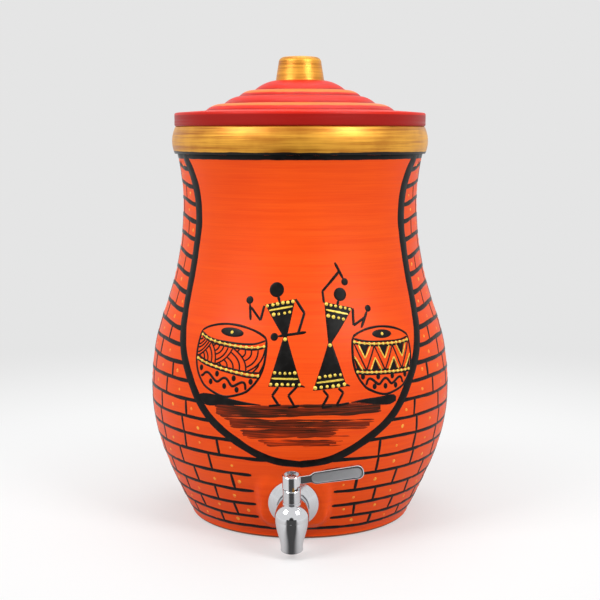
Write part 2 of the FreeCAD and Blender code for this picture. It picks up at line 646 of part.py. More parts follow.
def beside_stem(bar, up):
    """Stand a bar where the stop pin stands, its foot up along the stem axis."""
    across = "stop_pin_reach*sin(stop_pin_angle)"
    out = "(stem_reach + stop_pin_reach*cos(stop_pin_angle))"
    put(bar, f"tap_reach + {out}*cos(tap_tilt) + ({up})*sin(tap_tilt)",
        f"tap_height - {out}*sin(tap_tilt) + ({up})*cos(tap_tilt)", "tap_tilt")
    bar.setExpression("Placement.Base.x", on_sheet(across))
    return bar


def make_stop_pin():
    """Pin that ends the lever's swing."""
    pin = beside_stem(cylinder("stop_pin", "stop_pin_radius", "stop_pin_top - stop_pin_foot"),
                      "stop_pin_foot")
    pin.Label = "stop_pin"
    return pin


def make_plug():
    """Hollow plug with a side window, stem with two grooves and a square end."""
    piece = body("valve_plug")
    foot = "-(chamber_floor - plug_end_play)"
    plug = "(chamber_radius - plug_clearance)"
    grooves = []
    for name in ("lower", "upper"):
        middle = f"{name}_ring_height"
        grooves += [("stem_radius", f"{middle} - ring_groove_width/2"),
                    ("stem_radius - ring_groove_depth", f"{middle} - ring_groove_width/2"),
                    ("stem_radius - ring_groove_depth", f"{middle} + ring_groove_width/2"),
                    ("stem_radius", f"{middle} + ring_groove_width/2")]
    stem_end = "(bonnet_top + friction_washer_thickness)"
    turn_round(piece, outline(piece, UPRIGHT, [
        ("0", "plug_hollow_top"), ("plug_hollow_radius", "plug_hollow_top"),
        ("plug_hollow_radius", foot), (plug, foot), (plug, "plug_top"),
        ("stem_radius", "plug_top"), *grooves, ("stem_radius", stem_end),
        ("0", stem_end)], "stem"))
    square = piece.newObject("PartDesign::Pad", "plug_square")
    half = "drive_width/2"
    square.Profile = outline(piece, LEVEL, [(f"-{half}", f"-{half}"), (half, f"-{half}"),
                                            (half, half), (f"-{half}", half)], "drive")
    square.Profile[0].setExpression("AttachmentOffset.Base.z", on_sheet(stem_end))
    bind(square, Length=f"drive_top - {stem_end}")
    window = piece.newObject("PartDesign::Pocket", "plug_window")
    window.Profile = disc(piece, LENGTHWISE, "port_radius", name="window")
    bind(window, Length="chamber_radius")
    tapped = piece.newObject("PartDesign::Pocket", "plug_tapped_hole")
    tapped.Profile = disc(piece, LEVEL, "tapped_hole_radius + screw_clearance",
                          offset="drive_top", name="tapped")
    bind(tapped, Length="tapped_hole_depth")
    return on_stem(piece)


def make_stem_rings():
    """Two rubber rings in the stem's grooves, one group."""
    rings = []
    for name in ("lower", "upper"):
        torus = doc.addObject("Part::Torus", f"{name}_rubber_ring")
        bind(torus, Radius1="stem_radius + plug_clearance/2 - ring_groove_depth/2",
             Radius2="rubber_ring_radius")
        rings.append(on_stem(torus, f"{name}_ring_height"))
    group = doc.addObject("Part::Compound", "plug_o_rings")
    group.Label = "plug_o_rings"
    group.Links = rings
    return group


def make_friction_washer():
    """Plain washer between bonnet and hub."""
    bore = "stem_radius + plug_clearance"
    top = "bonnet_top + friction_washer_thickness"
    return on_stem(turned("friction_washer", [
        (bore, "bonnet_top"), ("friction_washer_radius", "bonnet_top"),
        ("friction_washer_radius", top), (bore, top)]))


def make_lever():
    """Hub with recess, square hole and stop notch, and the flat lever."""
    piece = body("lever_blank")
    foot = "(bonnet_top + friction_washer_thickness)"
    turn_round(piece, outline(piece, UPRIGHT, [
        ("0", foot), ("hub_radius - bonnet_round", foot), ("hub_radius", f"{foot} + bonnet_round"),
        ("hub_radius", "hub_top - bonnet_round"), ("hub_radius - bonnet_round", "hub_top"),
        ("0", "hub_top")], "hub"))
    arm = piece.newObject("PartDesign::Pad", "lever_arm")
    swell = "(lever_plate_half - lever_root_half)"
    length = "(lever_plate_start - lever_root_end)"
    curve = f"(({swell}^2 + {length}^2)/(4*{swell}))"
    middle = "(lever_root_end + lever_plate_start)/2"
    middle_half = "(lever_root_half + lever_plate_half)/2"
    lower = [("0", "-lever_root_half"),
             ("lever_root_end", "-lever_root_half", curve, RIGHT),
             (middle, f"-{middle_half}", curve, LEFT),
             ("lever_plate_start", "-lever_plate_half"),
             ("lever_length - lever_end_round", "-lever_end_half", "lever_end_round", LEFT),
             ("lever_length", "-lever_end_half + lever_end_round")]
    upper = [("lever_length", "lever_end_half - lever_end_round", "lever_end_round", LEFT),
             ("lever_length - lever_end_round", "lever_end_half"),
             ("lever_plate_start", "lever_plate_half", curve, LEFT),
             (middle, middle_half, curve, RIGHT),
             ("lever_root_end", "lever_root_half"), ("0", "lever_root_half")]
    arm.Profile = outline(piece, UPRIGHT, lower + upper, "arm")
    arm.SideType = "Symmetric"
    bind(arm, Length="lever_thickness")
    raise_sketch(arm.Profile[0])
    doc.recompute()
    rounding = piece.newObject("PartDesign::Fillet", "lever_rounding")
    rounding.Base = (arm, arm_edges(arm))
    bind(rounding, Radius="lever_edge_round")
    panel = piece.newObject("PartDesign::Pocket", "lever_panel")
    start = "(lever_panel_start + lever_panel_half)"
    end = "(lever_panel_end - lever_panel_half)"
    panel.Profile = outline(piece, UPRIGHT, [
        (start, "-lever_panel_half"), (end, "-lever_panel_half", "lever_panel_half", LEFT),
        ("lever_panel_end", "0", "lever_panel_half", LEFT), (end, "lever_panel_half"),
        (start, "lever_panel_half", "lever_panel_half", LEFT),
        ("lever_panel_start", "0", "lever_panel_half", LEFT)], "panel")
    raise_sketch(panel.Profile[0], "lever_thickness/2")
    bind(panel, Length="lever_panel_depth")
    recess = piece.newObject("PartDesign::Pocket", "hub_recess")
    recess.Profile = disc(piece, LEVEL, "hub_recess_radius", offset="hub_top", name="recess")
    bind(recess, Length="hub_top - hub_recess_floor")
    square = piece.newObject("PartDesign::Pocket", "lever_square")
    half = "(drive_width/2 + drive_clearance)"
    square.Profile = outline(piece, LEVEL, [(f"-{half}", f"-{half}"), (half, f"-{half}"),
                                            (half, half), (f"-{half}", half)], "square")
    square.Profile[0].setExpression("AttachmentOffset.Base.z", on_sheet("drive_top"))
    bind(square, Length=f"drive_top - {foot}")
    hole = piece.newObject("PartDesign::Pocket", "lever_screw_hole")
    hole.Profile = disc(piece, LEVEL, "screw_hole_radius", offset="hub_recess_floor", name="hole")
    bind(hole, Length="hub_recess_floor - drive_top")
    return piece


def raise_sketch(sketch, out="0"):
    """Tip a sketch up by the lever's rise, about its place on the stem axis."""
    sketch.AttachmentOffset = FreeCAD.Placement(
        FreeCAD.Vector(0, value("lever_height"), value(out)),
        FreeCAD.Rotation(FreeCAD.Vector(0, 0, 1), value("lever_rise")))
    sketch.setExpression("AttachmentOffset.Base.y", on_sheet("lever_height"))
    sketch.setExpression("AttachmentOffset.Base.z", on_sheet(out))
    sketch.setExpression("AttachmentOffset.Rotation.Angle", on_sheet("lever_rise"))


def arm_edges(arm):
    """Long edges of the lever's two flat faces, clear of the hub."""
    half = value("lever_thickness/2")
    clear = value("hub_radius + lever_edge_round")
    names = []
    for number, edge in enumerate(arm.Shape.Edges, start=1):
        box = edge.BoundBox
        flat = min(abs(box.YMin - side) + abs(box.YMax - side) for side in (-half, half))
        if flat < 0.001 and box.XMax > clear:
            names.append(f"Edge{number}")
    return names


def make_notch(lever):
    """Cut the notch that the stop pin stands in, as long as the lever's swing."""
    margin = "(asin(stop_pin_radius/stop_pin_reach) + notch_clearance*1deg)"
    sweep = f"lever_swing*1deg + 2*{margin}"
    foot = "(bonnet_top + friction_washer_thickness)"
    height = f"notch_top - {foot} + cut_overrun"
    sector = cylinder("notch_sector", "2*hub_radius", height)
    bind(sector, Angle=sweep)
    notch = cut("notch_ring", sector, cylinder("notch_core", "notch_core_radius", height))
    start = f"(stop_pin_angle - 90)*1deg - {margin}"
    notch.Placement = FreeCAD.Placement(
        FreeCAD.Vector(0, 0, value(f"{foot} - cut_overrun")),
        FreeCAD.Rotation(FreeCAD.Vector(0, 0, 1), value(start)))
    notch.setExpression("Placement.Base.z", on_sheet(f"{foot} - cut_overrun"))
    notch.setExpression("Placement.Rotation.Angle", on_sheet(start))
    return on_stem(cut("lever_handle", lever, notch))


def make_screw():
    """Handle screw with a domed head and a cross slot."""
    head = "hub_recess_floor"
    shape = turned("screw_blank", [
        ("0", f"{head} - screw_length"), ("tapped_hole_radius", f"{head} - screw_length"),
        ("tapped_hole_radius", head), ("screw_head_radius", head),
        ("screw_head_radius", f"{head} + screw_head_edge",
         upright_arc("screw_head_height - screw_head_edge", "screw_head_radius"), LEFT),
        ("0", f"{head} + screw_head_height")])
    slots = []
    for name, width, length in (("across", "screw_slot_length", "screw_slot_width"),
                                ("along", "screw_slot_width", "screw_slot_length")):
        slot = doc.addObject("Part::Box", f"screw_slot_{name}")
        bind(slot, Length=width, Width=length, Height="screw_slot_depth + cut_overrun")
        slot.setExpression("Placement.Base.x", on_sheet(f"-({width})/2"))
        slot.setExpression("Placement.Base.y", on_sheet(f"-({length})/2"))
        slot.setExpression("Placement.Base.z",
                           on_sheet(f"{head} + screw_head_height - screw_slot_depth"))
        slots.append(slot)
    return on_stem(cut("handle_screw", shape, join("screw_slots", *slots)))


make_pot()
make_lid()
make_shank()
make_clamping_rings()
make_flange()
make_nut()
make_tap_body()
make_seat_ring()
make_bonnet()
make_stop_pin()
make_plug()
make_stem_rings()
make_friction_washer()
make_notch(make_lever())
make_screw()
doc.recompute()

NODES = ["pot_body", "lid", "tap_body", "threaded_shank", "wall_flange", "outer_gasket",
         "inner_gasket", "back_washer", "back_nut", "bonnet", "seat_ring", "stop_pin",
         "valve_plug", "plug_o_rings", "lever_handle", "handle_screw", "friction_washer"]
bad = [item.Label for item in doc.Objects
       if "Invalid" in item.State or "Error" in item.State]
if bad:
    raise RuntimeError(f"failed: {bad}")
os.makedirs("parts", exist_ok=True)
for label in NODES:
    shape = doc.getObjectsByLabel(label)[0].Shape
    if shape.isNull() or not shape.isValid() or not shape.Solids:
        raise RuntimeError(f"{label} has no valid solid")
    print(f"{label:16s} {len(shape.Solids)} solid, {shape.Volume / 1000:.2f} cm3")
for label in NODES:
    doc.getObjectsByLabel(label)[0].Shape.exportStep(f"parts/{label}.step")
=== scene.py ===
import bisect
import json
import math
import random

import bpy
from mathutils import Matrix, Vector, noise


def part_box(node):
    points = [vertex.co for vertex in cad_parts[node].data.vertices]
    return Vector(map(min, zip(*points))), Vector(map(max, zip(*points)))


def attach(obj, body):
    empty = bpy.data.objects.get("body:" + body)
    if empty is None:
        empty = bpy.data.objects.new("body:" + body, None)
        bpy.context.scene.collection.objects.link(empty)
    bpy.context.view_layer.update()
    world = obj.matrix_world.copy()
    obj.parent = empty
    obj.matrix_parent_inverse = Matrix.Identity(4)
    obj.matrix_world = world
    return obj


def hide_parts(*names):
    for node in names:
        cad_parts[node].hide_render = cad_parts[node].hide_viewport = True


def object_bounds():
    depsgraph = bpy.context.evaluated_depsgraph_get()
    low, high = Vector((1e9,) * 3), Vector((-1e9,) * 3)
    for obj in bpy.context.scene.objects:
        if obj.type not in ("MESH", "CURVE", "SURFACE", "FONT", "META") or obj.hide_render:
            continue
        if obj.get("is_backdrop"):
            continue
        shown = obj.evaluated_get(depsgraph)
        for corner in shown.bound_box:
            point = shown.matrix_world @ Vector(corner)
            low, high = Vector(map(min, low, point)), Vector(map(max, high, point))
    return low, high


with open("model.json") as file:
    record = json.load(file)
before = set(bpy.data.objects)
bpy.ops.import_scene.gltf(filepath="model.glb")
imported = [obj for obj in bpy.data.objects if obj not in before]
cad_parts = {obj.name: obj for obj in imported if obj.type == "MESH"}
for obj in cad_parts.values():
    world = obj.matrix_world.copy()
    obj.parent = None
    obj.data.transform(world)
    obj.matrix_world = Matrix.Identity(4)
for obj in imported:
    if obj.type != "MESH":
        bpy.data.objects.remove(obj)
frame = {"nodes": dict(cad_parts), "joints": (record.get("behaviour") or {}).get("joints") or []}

# Painted clay water pot with a stepped lid and a lever tap. Lengths are in metres.
# The pot stands on Z = 0 with its axis on Z and the tap on the -Y side.

bl_info = {
    "name": "Painted clay water pot",
    "version": (1, 0, 0),
    "blender": (4, 5, 0),
    "location": "3D View > Sidebar > Water Pot",
    "description": "Builds a hand-painted clay water pot with its lid, tap and studio",
    "category": "Object",
}

MM = 0.001
CAD_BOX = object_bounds()
POT_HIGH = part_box("pot_body")[1]
LEVER_JOINT = next(joint for joint in frame["joints"] if joint["name"] == "tap_lever")
LEFT = 1
RIGHT = -1

# Lengths of the mesh's steps along its curves
EDGE_STEP = 0.7 * MM
KNOB_EDGE_STEP = 0.8 * MM
RING_EDGE_STEP = 0.9 * MM
FOOT_STEP = 1 * MM
LID_RING_STEP = 1.1 * MM
KNOB_STEP = 1.2 * MM
BRIM_SIDE_STEP = 1.5 * MM
COLLAR_STEP = 1.6 * MM
CROWN_STEP = 2 * MM
WALL_STEP = 2.6 * MM
FLANK_STEP = 3 * MM
RING_STEP = 4 * MM
SEAT_STEP = 5 * MM
INSIDE_STEP = 6 * MM
ROOF_STEP = 10 * MM
FLOOR_STEP = 12 * MM
UNDER_STEP = 14 * MM

# Turned meshes: places round them, and the folds that stay sharp
POT_SIDES = 360
LID_SIDES = 300
CLAY_FOLD = math.radians(38)
PAINT_FOLD = math.radians(60)
ON_AXIS = 1e-6

# Materials of the pot and of the lid, in their order
PAINTED, GILDED, RAW = range(3)


def srgb(red, green, blue):
    """Linear colour for a colour read from 0 to 255."""
    shares = (channel / 255 for channel in (red, green, blue))
    return tuple(share / 12.92 if share <= 0.04045 else ((share + 0.055) / 1.055) ** 2.4
                 for share in shares)


def length(name, description, default):
    """Length that a user may change."""
    return bpy.props.FloatProperty(name=name, description=description, default=default,
                                   min=0, unit="LENGTH", precision=5)


def colour(name, description, *channels):
    """Colour that a user may change."""
    return bpy.props.FloatVectorProperty(name=name, description=description, size=3, min=0, max=1,
                                         subtype="COLOR", default=srgb(*channels))


class PotShape(bpy.types.PropertyGroup):
    foot_radius: length("Foot", "Flat ring that the pot stands on", 97.5 * MM)
    foot_edge_radius: length("Foot edge", "Where the foot's edge meets the wall", 102 * MM)
    foot_edge_height: length("Foot edge height", "Height of that edge", 3.5 * MM)
    flank_radius: length("Flank", "Lower wall, half way up to the belly", 126.2 * MM)
    flank_height: length("Flank height", "Height of that place", 56 * MM)
    belly_radius: length("Belly", "Widest place of the pot", POT_HIGH.x)
    belly_height: length("Belly height", "Height of the belly", 120 * MM)
    belly_curve: length("Belly curve", "Upright curve above the belly", 205 * MM)
    waist_radius: length("Waist", "Narrowest place below the collar", 107.4 * MM)
    waist_height: length("Waist height", "Height of the waist", 290 * MM)
    neck_radius: length("Neck", "Wall just below the collar", 112.2 * MM)
    collar_height: length("Collar height", "Underside of the collar band", 333 * MM)
    collar_radius: length("Collar", "Top and bottom edge of the collar band", 114.6 * MM)
    collar_crown: length("Collar crown", "Radius of the band's rounded face", 28 * MM)
    rim_height: length("Rim height", "Flat top of the rim", POT_HIGH.z)
    rim_round: length("Rim rounding", "Rounding of the rim's edges", 1.9 * MM)
    wall: length("Wall", "Thickness of the clay", 9 * MM)
    base: length("Floor", "Thickness of the floor", 11 * MM)
    floor_corner: length("Floor corner", "Rounded corner of the floor, across", 13 * MM)
    floor_rise: length("Floor rise", "Rounded corner of the floor, up", 9 * MM)
    mouth_radius: length("Mouth", "Inside of the mouth", 103.2 * MM)
    coat: length("Coat", "Thickness that the raised paint may take", 0.3 * MM)
    unevenness: length("Unevenness", "Hand-thrown waves of the wall", 0.35 * MM)


class PadShape(bpy.types.PropertyGroup):
    reach: length("Reach", "Axis of the pot to the face of the pad", 123 * MM)
    height: length("Height", "Height of the barrel's axis on that face", 39.2 * MM)
    tilt: bpy.props.FloatProperty(name="Tilt", description="Barrel below level",
                                  default=math.radians(11), subtype="ANGLE")
    width: length("Width", "Flat face of the pad, across", 58 * MM)
    tall: length("Tall", "Flat face of the pad, up", 44.5 * MM)
    corner: length("Corner", "Corner radius of that face", 12 * MM)
    flare: length("Flare", "How far the pad runs out into the wall", 7 * MM)
    sink: length("Sink", "How far inside its edge the face starts to round off", 3 * MM)
    seat_radius: length("Seat", "Flat seat inside the pot", 19.5 * MM)
    seat_depth: length("Seat depth", "Clay between the face and that seat", 14 * MM)
    hole_radius: length("Hole", "Hole for the shank", 11.25 * MM)


class LidShape(bpy.types.PropertyGroup):
    brim_radius: length("Brim", "Outside of the lid", 114.5 * MM)
    brim_round: length("Brim rounding", "Rounded edges of the brim", 1.8 * MM)
    brim_height: length("Brim height", "Top of the brim at its edge", 12.4 * MM)
    knob_foot: length("Knob foot", "Knob where it leaves the top ring", 21.9 * MM)
    knob_foot_height: length("Knob foot height", "Height of that place", 43 * MM)
    knob_top: length("Knob top", "Knob below its rounded edge", 19.6 * MM)
    knob_edge_height: length("Knob edge height", "Height of that place", 57.5 * MM)
    knob_edge: length("Knob edge", "Rounded edge of the knob, across", 5 * MM)
    knob_rise: length("Knob rise", "Rounded edge of the knob, up", 5.3 * MM)
    knob_dome: length("Knob dome", "Crown of the knob's top", 0.9 * MM)
    ring_radius: length("Locating ring", "Outside of the ring under the lid", 100 * MM)
    ring_width: length("Ring width", "Thickness of that ring", 8 * MM)
    ring_depth: length("Ring depth", "Depth of that ring", 12 * MM)
    ring_round: length("Ring rounding", "Rounded lower edges of that ring", 2.5 * MM)
    hollow_edge: length("Hollow edge", "Height of the hollow at its edge", 4.2 * MM)
    hollow_top: length("Hollow top", "Height of the hollow under the knob", 33.5 * MM)
    hollow_flat: length("Hollow flat", "Flat roof of the hollow", 20 * MM)
    unevenness: length("Unevenness", "Hand-thrown waves of the lid", 0.25 * MM)


# Steps of the lid: inner edge, height above the rim, radius of the rounded ring inside it
LID_STEPS = ((86.2, 14.4, 21), (69.6, 20.4, 24), (55.6, 27.4, 16), (41.9, 32.7, 36))
LID_TOP_STEP = (22.2, 41.7)
# Orange bands on the lid: inner and outer radius
LID_BANDS = ((22.0, 24.3), (42.0, 52.6), (69.8, 81.2))


class PaintColours(bpy.types.PropertyGroup):
    wall: colour("Wall", "Orange of the wall", 250, 88, 8)
    wall_deep: colour("Deep wall", "Darker streaks of the wall", 238, 70, 4)
    lid: colour("Lid", "Red of the lid", 226, 38, 14)
    lid_deep: colour("Deep lid", "Darker streaks of the lid", 200, 26, 12)
    # Painted shade: darker red for the brim's upright side, which the light from above reaches
    # less, and for the grooves between the rings
    lid_painted_shade: colour("Lid side", "Red of the brim's upright edge", 160, 16, 6)
    lid_orange: colour("Lid orange", "Orange bands on the lid's rings", 244, 120, 44)
    gold: colour("Gold", "Gold paint where it is bright", 238, 172, 56)
    gold_deep: colour("Deep gold", "Gold paint where it is thin", 180, 106, 12)
    black: colour("Black", "Black of the lines and figures", 13, 11, 10)
    bead: colour("Bead", "Raised gold beads and lines", 250, 216, 84)
    dot: colour("Dot", "Small dots on the bricks", 252, 178, 48)
    ground: colour("Ground", "Dry brush strokes under the dancers", 54, 25, 8)
    clay: colour("Clay", "Unpainted clay inside and underneath", 186, 106, 70)


class Picture(bpy.types.PropertyGroup):
    turn: bpy.props.FloatProperty(name="Turn", subtype="ANGLE", default=math.radians(2.6),
                                  description="Middle of the picture, round from the tap")
    scale_radius: length("Scale radius", "Wall radius at which the picture is true", 120 * MM)
    line: length("Line", "Paint above the wall", 0.26 * MM)
    sunk: length("Sunk", "Paint below the wall at its edges", 0.12 * MM)
    outline: length("Outline", "Width of the line under the picture", 6.9 * MM)
    side_outline: length("Side outline", "Width of that line beside the picture", 13.5 * MM)
    limb: length("Limb", "Width of arms, legs and sticks", 2.5 * MM)
    bead_radius: length("Bead radius", "Raised gold beads", 1.6 * MM)
    bead_rise: length("Bead rise", "Height of the raised gold beads", 1.0 * MM)
    bead_line: length("Bead line", "Width of the raised gold lines", 1.9 * MM)


class Brickwork(bpy.types.PropertyGroup):
    first: length("First line", "Height of the lowest mortar line", 10.5 * MM)
    low_course: length("Low course", "Height of the lowest course of bricks", 11 * MM)
    growth: length("Growth", "How much taller each course is until they are even", 1.4 * MM)
    course: length("Course", "Height of an even course", 15.4 * MM)
    brick: length("Brick", "Length of a brick", 40 * MM)
    mortar: length("Mortar", "Width of a level line", 3.4 * MM)
    upright: length("Upright", "Width of an upright line", 3.2 * MM)
    thin: length("Thin upright", "Width of an upright line at the neck", 1.3 * MM)
    swell: length("Swell", "How much wider a line is where it meets the picture", 1.2 * MM)
    dip: length("Dip", "How far a line drops towards the picture at the neck", 5 * MM)
    dip_length: length("Dip length", "Length over which it drops", 45 * MM)
    pad_gap: length("Pad gap", "Half of the plain wall left round the tap", 34 * MM)
    dot: length("Dot", "Radius of the dot on a brick", 1.6 * MM)


class Studio(bpy.types.PropertyGroup):
    lens: bpy.props.FloatProperty(name="Lens", description="Focal length", default=75.18,
                                  unit="CAMERA")
    distance: length("Distance", "Camera to the axis of the pot", 1158 * MM)
    camera_height: length("Camera height", "Camera above the table", 349.7 * MM)
    pitch: bpy.props.FloatProperty(name="Pitch", description="Camera below level",
                                   subtype="ANGLE", default=math.radians(7.5))
    key: bpy.props.FloatProperty(name="Key lamp", description="Large lamp at the left",
                                 default=29, unit="POWER")
    fill: bpy.props.FloatProperty(name="Fill lamp", description="Large lamp at the right",
                                  default=26, unit="POWER")
    top: bpy.props.FloatProperty(name="Top lamp", description="Lamp above", default=8,
                                 unit="POWER")
    room: bpy.props.FloatProperty(name="Room", description="Soft light from all sides",
                                  default=0.48, min=0)
    backdrop: colour("Backdrop", "Pale grey behind the pot", 229, 229, 229)
    floor: colour("Floor", "Pale floor under the pot", 250, 250, 250)


# Curves

def bend(start, end, radius, side, step=WALL_STEP):
    """Points after start on the arc to end, its centre left or right of the way there."""
    chord = end - start
    half = chord.length / 2
    left = Vector((-chord.y, chord.x)).normalized()
    centre = (start + end) / 2 + left * side * math.sqrt(max(radius**2 - half**2, 0))
    sweep = 2 * math.asin(min(half / radius, 1))
    count = max(round(sweep * radius / step), 3)
    arm = start - centre
    return [centre + Matrix.Rotation(side * sweep * index / count, 2) @ arm
            for index in range(1, count + 1)]


def run(start, end, step=WALL_STEP):
    """Points after start on the straight way to end."""
    count = max(round((end - start).length / step), 1)
    return [start.lerp(end, index / count) for index in range(1, count + 1)]


def upright(across, up):
    """Radius of an arc that is upright at one end and goes across and up to the other."""
    return (across**2 + up**2) / (2 * across)


def smooth(low, high, number):
    """0 below low, 1 above high and a smooth rise between."""
    share = min(max((number - low) / (high - low), 0), 1)
    return share * share * (3 - 2 * share)


def rounded(points, step):
    """Even points on a smooth line through a few given ones."""
    knots = [Vector(point) for point in points]
    if len(knots) < 3:
        return [knots[0]] + run(knots[0], knots[-1], step)
    ends = [2 * knots[0] - knots[1]] + knots + [2 * knots[-1] - knots[-2]]
    line = [knots[0]]
    for before, start, end, after in zip(ends, ends[1:], ends[2:], ends[3:]):
        count = max(round((end - start).length / step), 1)
        for index in range(1, count + 1):
            share = index / count
            slope = (end - before) * share + (2 * before - 5 * start + 4 * end - after) * share**2
            slope += (3 * start - before - 3 * end + after) * share**3
            line.append(start + slope / 2)
    return line


# Clay

def profile(shape):
    """Edge of the foot, flank, belly and waist, where the wall's curves start and end."""
    return (Vector((shape.foot_edge_radius, shape.foot_edge_height)),
            Vector((shape.flank_radius, shape.flank_height)),
            Vector((shape.belly_radius, shape.belly_height)),
            Vector((shape.waist_radius, shape.waist_height)))


def wall_line(shape):
    """Outside of the wall from the foot's edge to the collar: (radius, height)."""
    edge, flank, belly, waist = profile(shape)
    neck = Vector((shape.neck_radius, shape.collar_height))
    low, foot, both, swap = wall_curves(shape)
    line = [edge] + bend(edge, flank, foot, LEFT) + bend(flank, belly, low, LEFT)
    line += bend(belly, swap, shape.belly_curve, LEFT)
    line += bend(swap, waist, both - shape.belly_curve, RIGHT)
    neck_curve = upright(neck.x - waist.x, neck.y - waist.y)
    return line + bend(waist, neck, neck_curve, RIGHT)


def wall_curves(shape):
    """Radii of the two lower curves, sum of the two upper ones, and where those meet."""
    edge, flank, belly, waist = profile(shape)
    low = upright(belly.x - flank.x, belly.y - flank.y)
    outward = Vector((flank.x - belly.x + low, flank.y - belly.y)) / low
    foot = (edge - flank).length_squared / (-2 * (edge - flank).dot(outward))
    both = upright(belly.x - waist.x, waist.y - belly.y)
    share = shape.belly_curve / both
    swap = belly + Vector((-(belly.x - waist.x), waist.y - belly.y)) * share
    return low, foot, both, swap


def inner_line(shape):
    """Inside of the pot from the rim down to the middle of the floor."""
    low, foot, both, swap = wall_curves(shape)
    wall = shape.wall
    _, flank, belly, _ = profile(shape)
    turn_up = (swap - Vector((belly.x - shape.belly_curve, belly.y))).normalized()
    turn_low = (flank - Vector((belly.x - low, belly.y))).normalized()
    mouth = Vector((shape.mouth_radius, shape.rim_height - shape.rim_round))
    waist = Vector((shape.waist_radius - wall, shape.waist_height))
    corner_top = shape.base + shape.floor_rise
    climb = (corner_top - shape.foot_edge_height) / (shape.flank_height - shape.foot_edge_height)
    corner = shape.foot_edge_radius + (shape.flank_radius - shape.foot_edge_radius) * climb - wall
    inner_swap = swap - turn_up * wall
    inner_flank = flank - turn_low * wall
    side = Vector((corner, corner_top))
    floor = Vector((corner - shape.floor_corner, shape.base))
    line = bend(mouth, waist, upright(mouth.x - waist.x, mouth.y - waist.y), LEFT, INSIDE_STEP)
    line += bend(waist, inner_swap, both - shape.belly_curve + wall, LEFT, INSIDE_STEP)
    line += bend(inner_swap, belly - Vector((wall, 0)), shape.belly_curve - wall, RIGHT,
                 INSIDE_STEP)
    line += bend(line[-1], inner_flank, low - wall, RIGHT, FLANK_STEP)
    line += bend(inner_flank, side, foot - wall, RIGHT, FLANK_STEP)
    line += bend(side, floor, upright(shape.floor_rise, shape.floor_corner), RIGHT)
    return line + run(floor, Vector((0, shape.base)), FLOOR_STEP)


class Wall:
    """Outside of the pot at any way round and height."""

    near_pad = 0.7
    broad_waves = 2.3
    throwing_rings = 95
    ring_seed = 7
    broad_share = 0.7
    ring_share = 0.3

    def __init__(self, shape, pad):
        self.shape = shape
        self.pad = pad
        line = wall_line(shape)
        self.heights = [point.y for point in line]
        self.radii = [point.x for point in line]

    def thrown(self, height):
        """Radius of the turned wall."""
        above = min(max(bisect.bisect(self.heights, height), 1), len(self.heights) - 1)
        low, high = self.heights[above - 1:above + 1]
        share = min(max((height - low) / (high - low), 0), 1)
        return self.radii[above - 1] * (1 - share) + self.radii[above] * share

    def facing(self, around, height, depth=0):
        """Radius of the plane that is depth behind the pad's face, and the place on it."""
        pad = self.pad
        slope = math.tan(pad.tilt)
        forward = pad.reach + (height - pad.height) * slope - depth / math.cos(pad.tilt)
        rise = (height - pad.height) / math.cos(pad.tilt) + depth * slope
        return forward / math.cos(around), forward * math.tan(around), rise

    def beyond_pad(self, across, rise):
        """How far a place on the pad's plane lies outside the pad's face."""
        pad = self.pad
        wide = abs(across) - pad.width / 2 + pad.corner
        tall = abs(rise) - pad.tall / 2 + pad.corner
        return math.hypot(max(wide, 0), max(tall, 0)) + min(max(wide, tall), 0) - pad.corner

    def radius(self, around, height):
        """Radius with the pad, the thrower's unevenness and room for the paint."""
        bare = self.thrown(height)
        if math.cos(around) > self.near_pad and height < self.pad.height + self.pad.tall:
            flat, across, rise = self.facing(around, height)
            share = smooth(-self.pad.sink, self.pad.flare, self.beyond_pad(across, rise))
            bare = flat * (1 - share) + bare * share
        place = Vector((math.sin(around), math.cos(around), height / self.shape.belly_radius))
        rings = Vector((0, self.ring_seed, height * self.throwing_rings))
        wave = noise.noise(place * self.broad_waves) * self.broad_share
        wave += noise.noise(rings) * self.ring_share
        return bare - self.shape.coat - self.shape.unevenness * (0.5 + 0.5 * wave)

    def place(self, around, height, lift=0):
        """Place on the wall, lifted off it."""
        radius = self.radius(around, height)
        step = 1 * MM
        slope = (self.thrown(height + step) - self.thrown(height - step)) / (2 * step)
        tip = math.hypot(1, slope)
        outward = Vector((math.sin(around), -math.cos(around), 0))
        spot = outward * radius + Vector((0, 0, height))
        return spot + (outward - Vector((0, 0, slope))) * lift / tip


def lathe(name, line, count, place, kinds):
    """Closed turned mesh. line holds (radius, height), kinds the material of each band."""
    points = []
    rows = []
    for index, (radius, height) in enumerate(line):
        if radius < ON_AXIS:
            rows.append([len(points)])
            points.append(Vector((0, 0, height)))
            continue
        rows.append(range(len(points), len(points) + count))
        for step in range(count):
            points.append(place(index, radius, height, math.tau * step / count - math.pi))
    faces = []
    paints = []
    for (low, high), kind in zip(zip(rows, rows[1:]), kinds):
        for step in range(count):
            after = (step + 1) % count
            corners = [low[step % len(low)], low[after % len(low)],
                       high[after % len(high)], high[step % len(high)]]
            faces.append(list(dict.fromkeys(corners)))
            paints.append(kind)
    mesh = bpy.data.meshes.new(name)
    mesh.from_pydata(points, [], faces)
    mesh.polygons.foreach_set("material_index", paints)
    mesh.shade_smooth()
    mesh.set_sharp_from_angle(angle=CLAY_FOLD)
    piece = bpy.data.objects.new(name, mesh)
    bpy.context.scene.collection.objects.link(piece)
    return piece


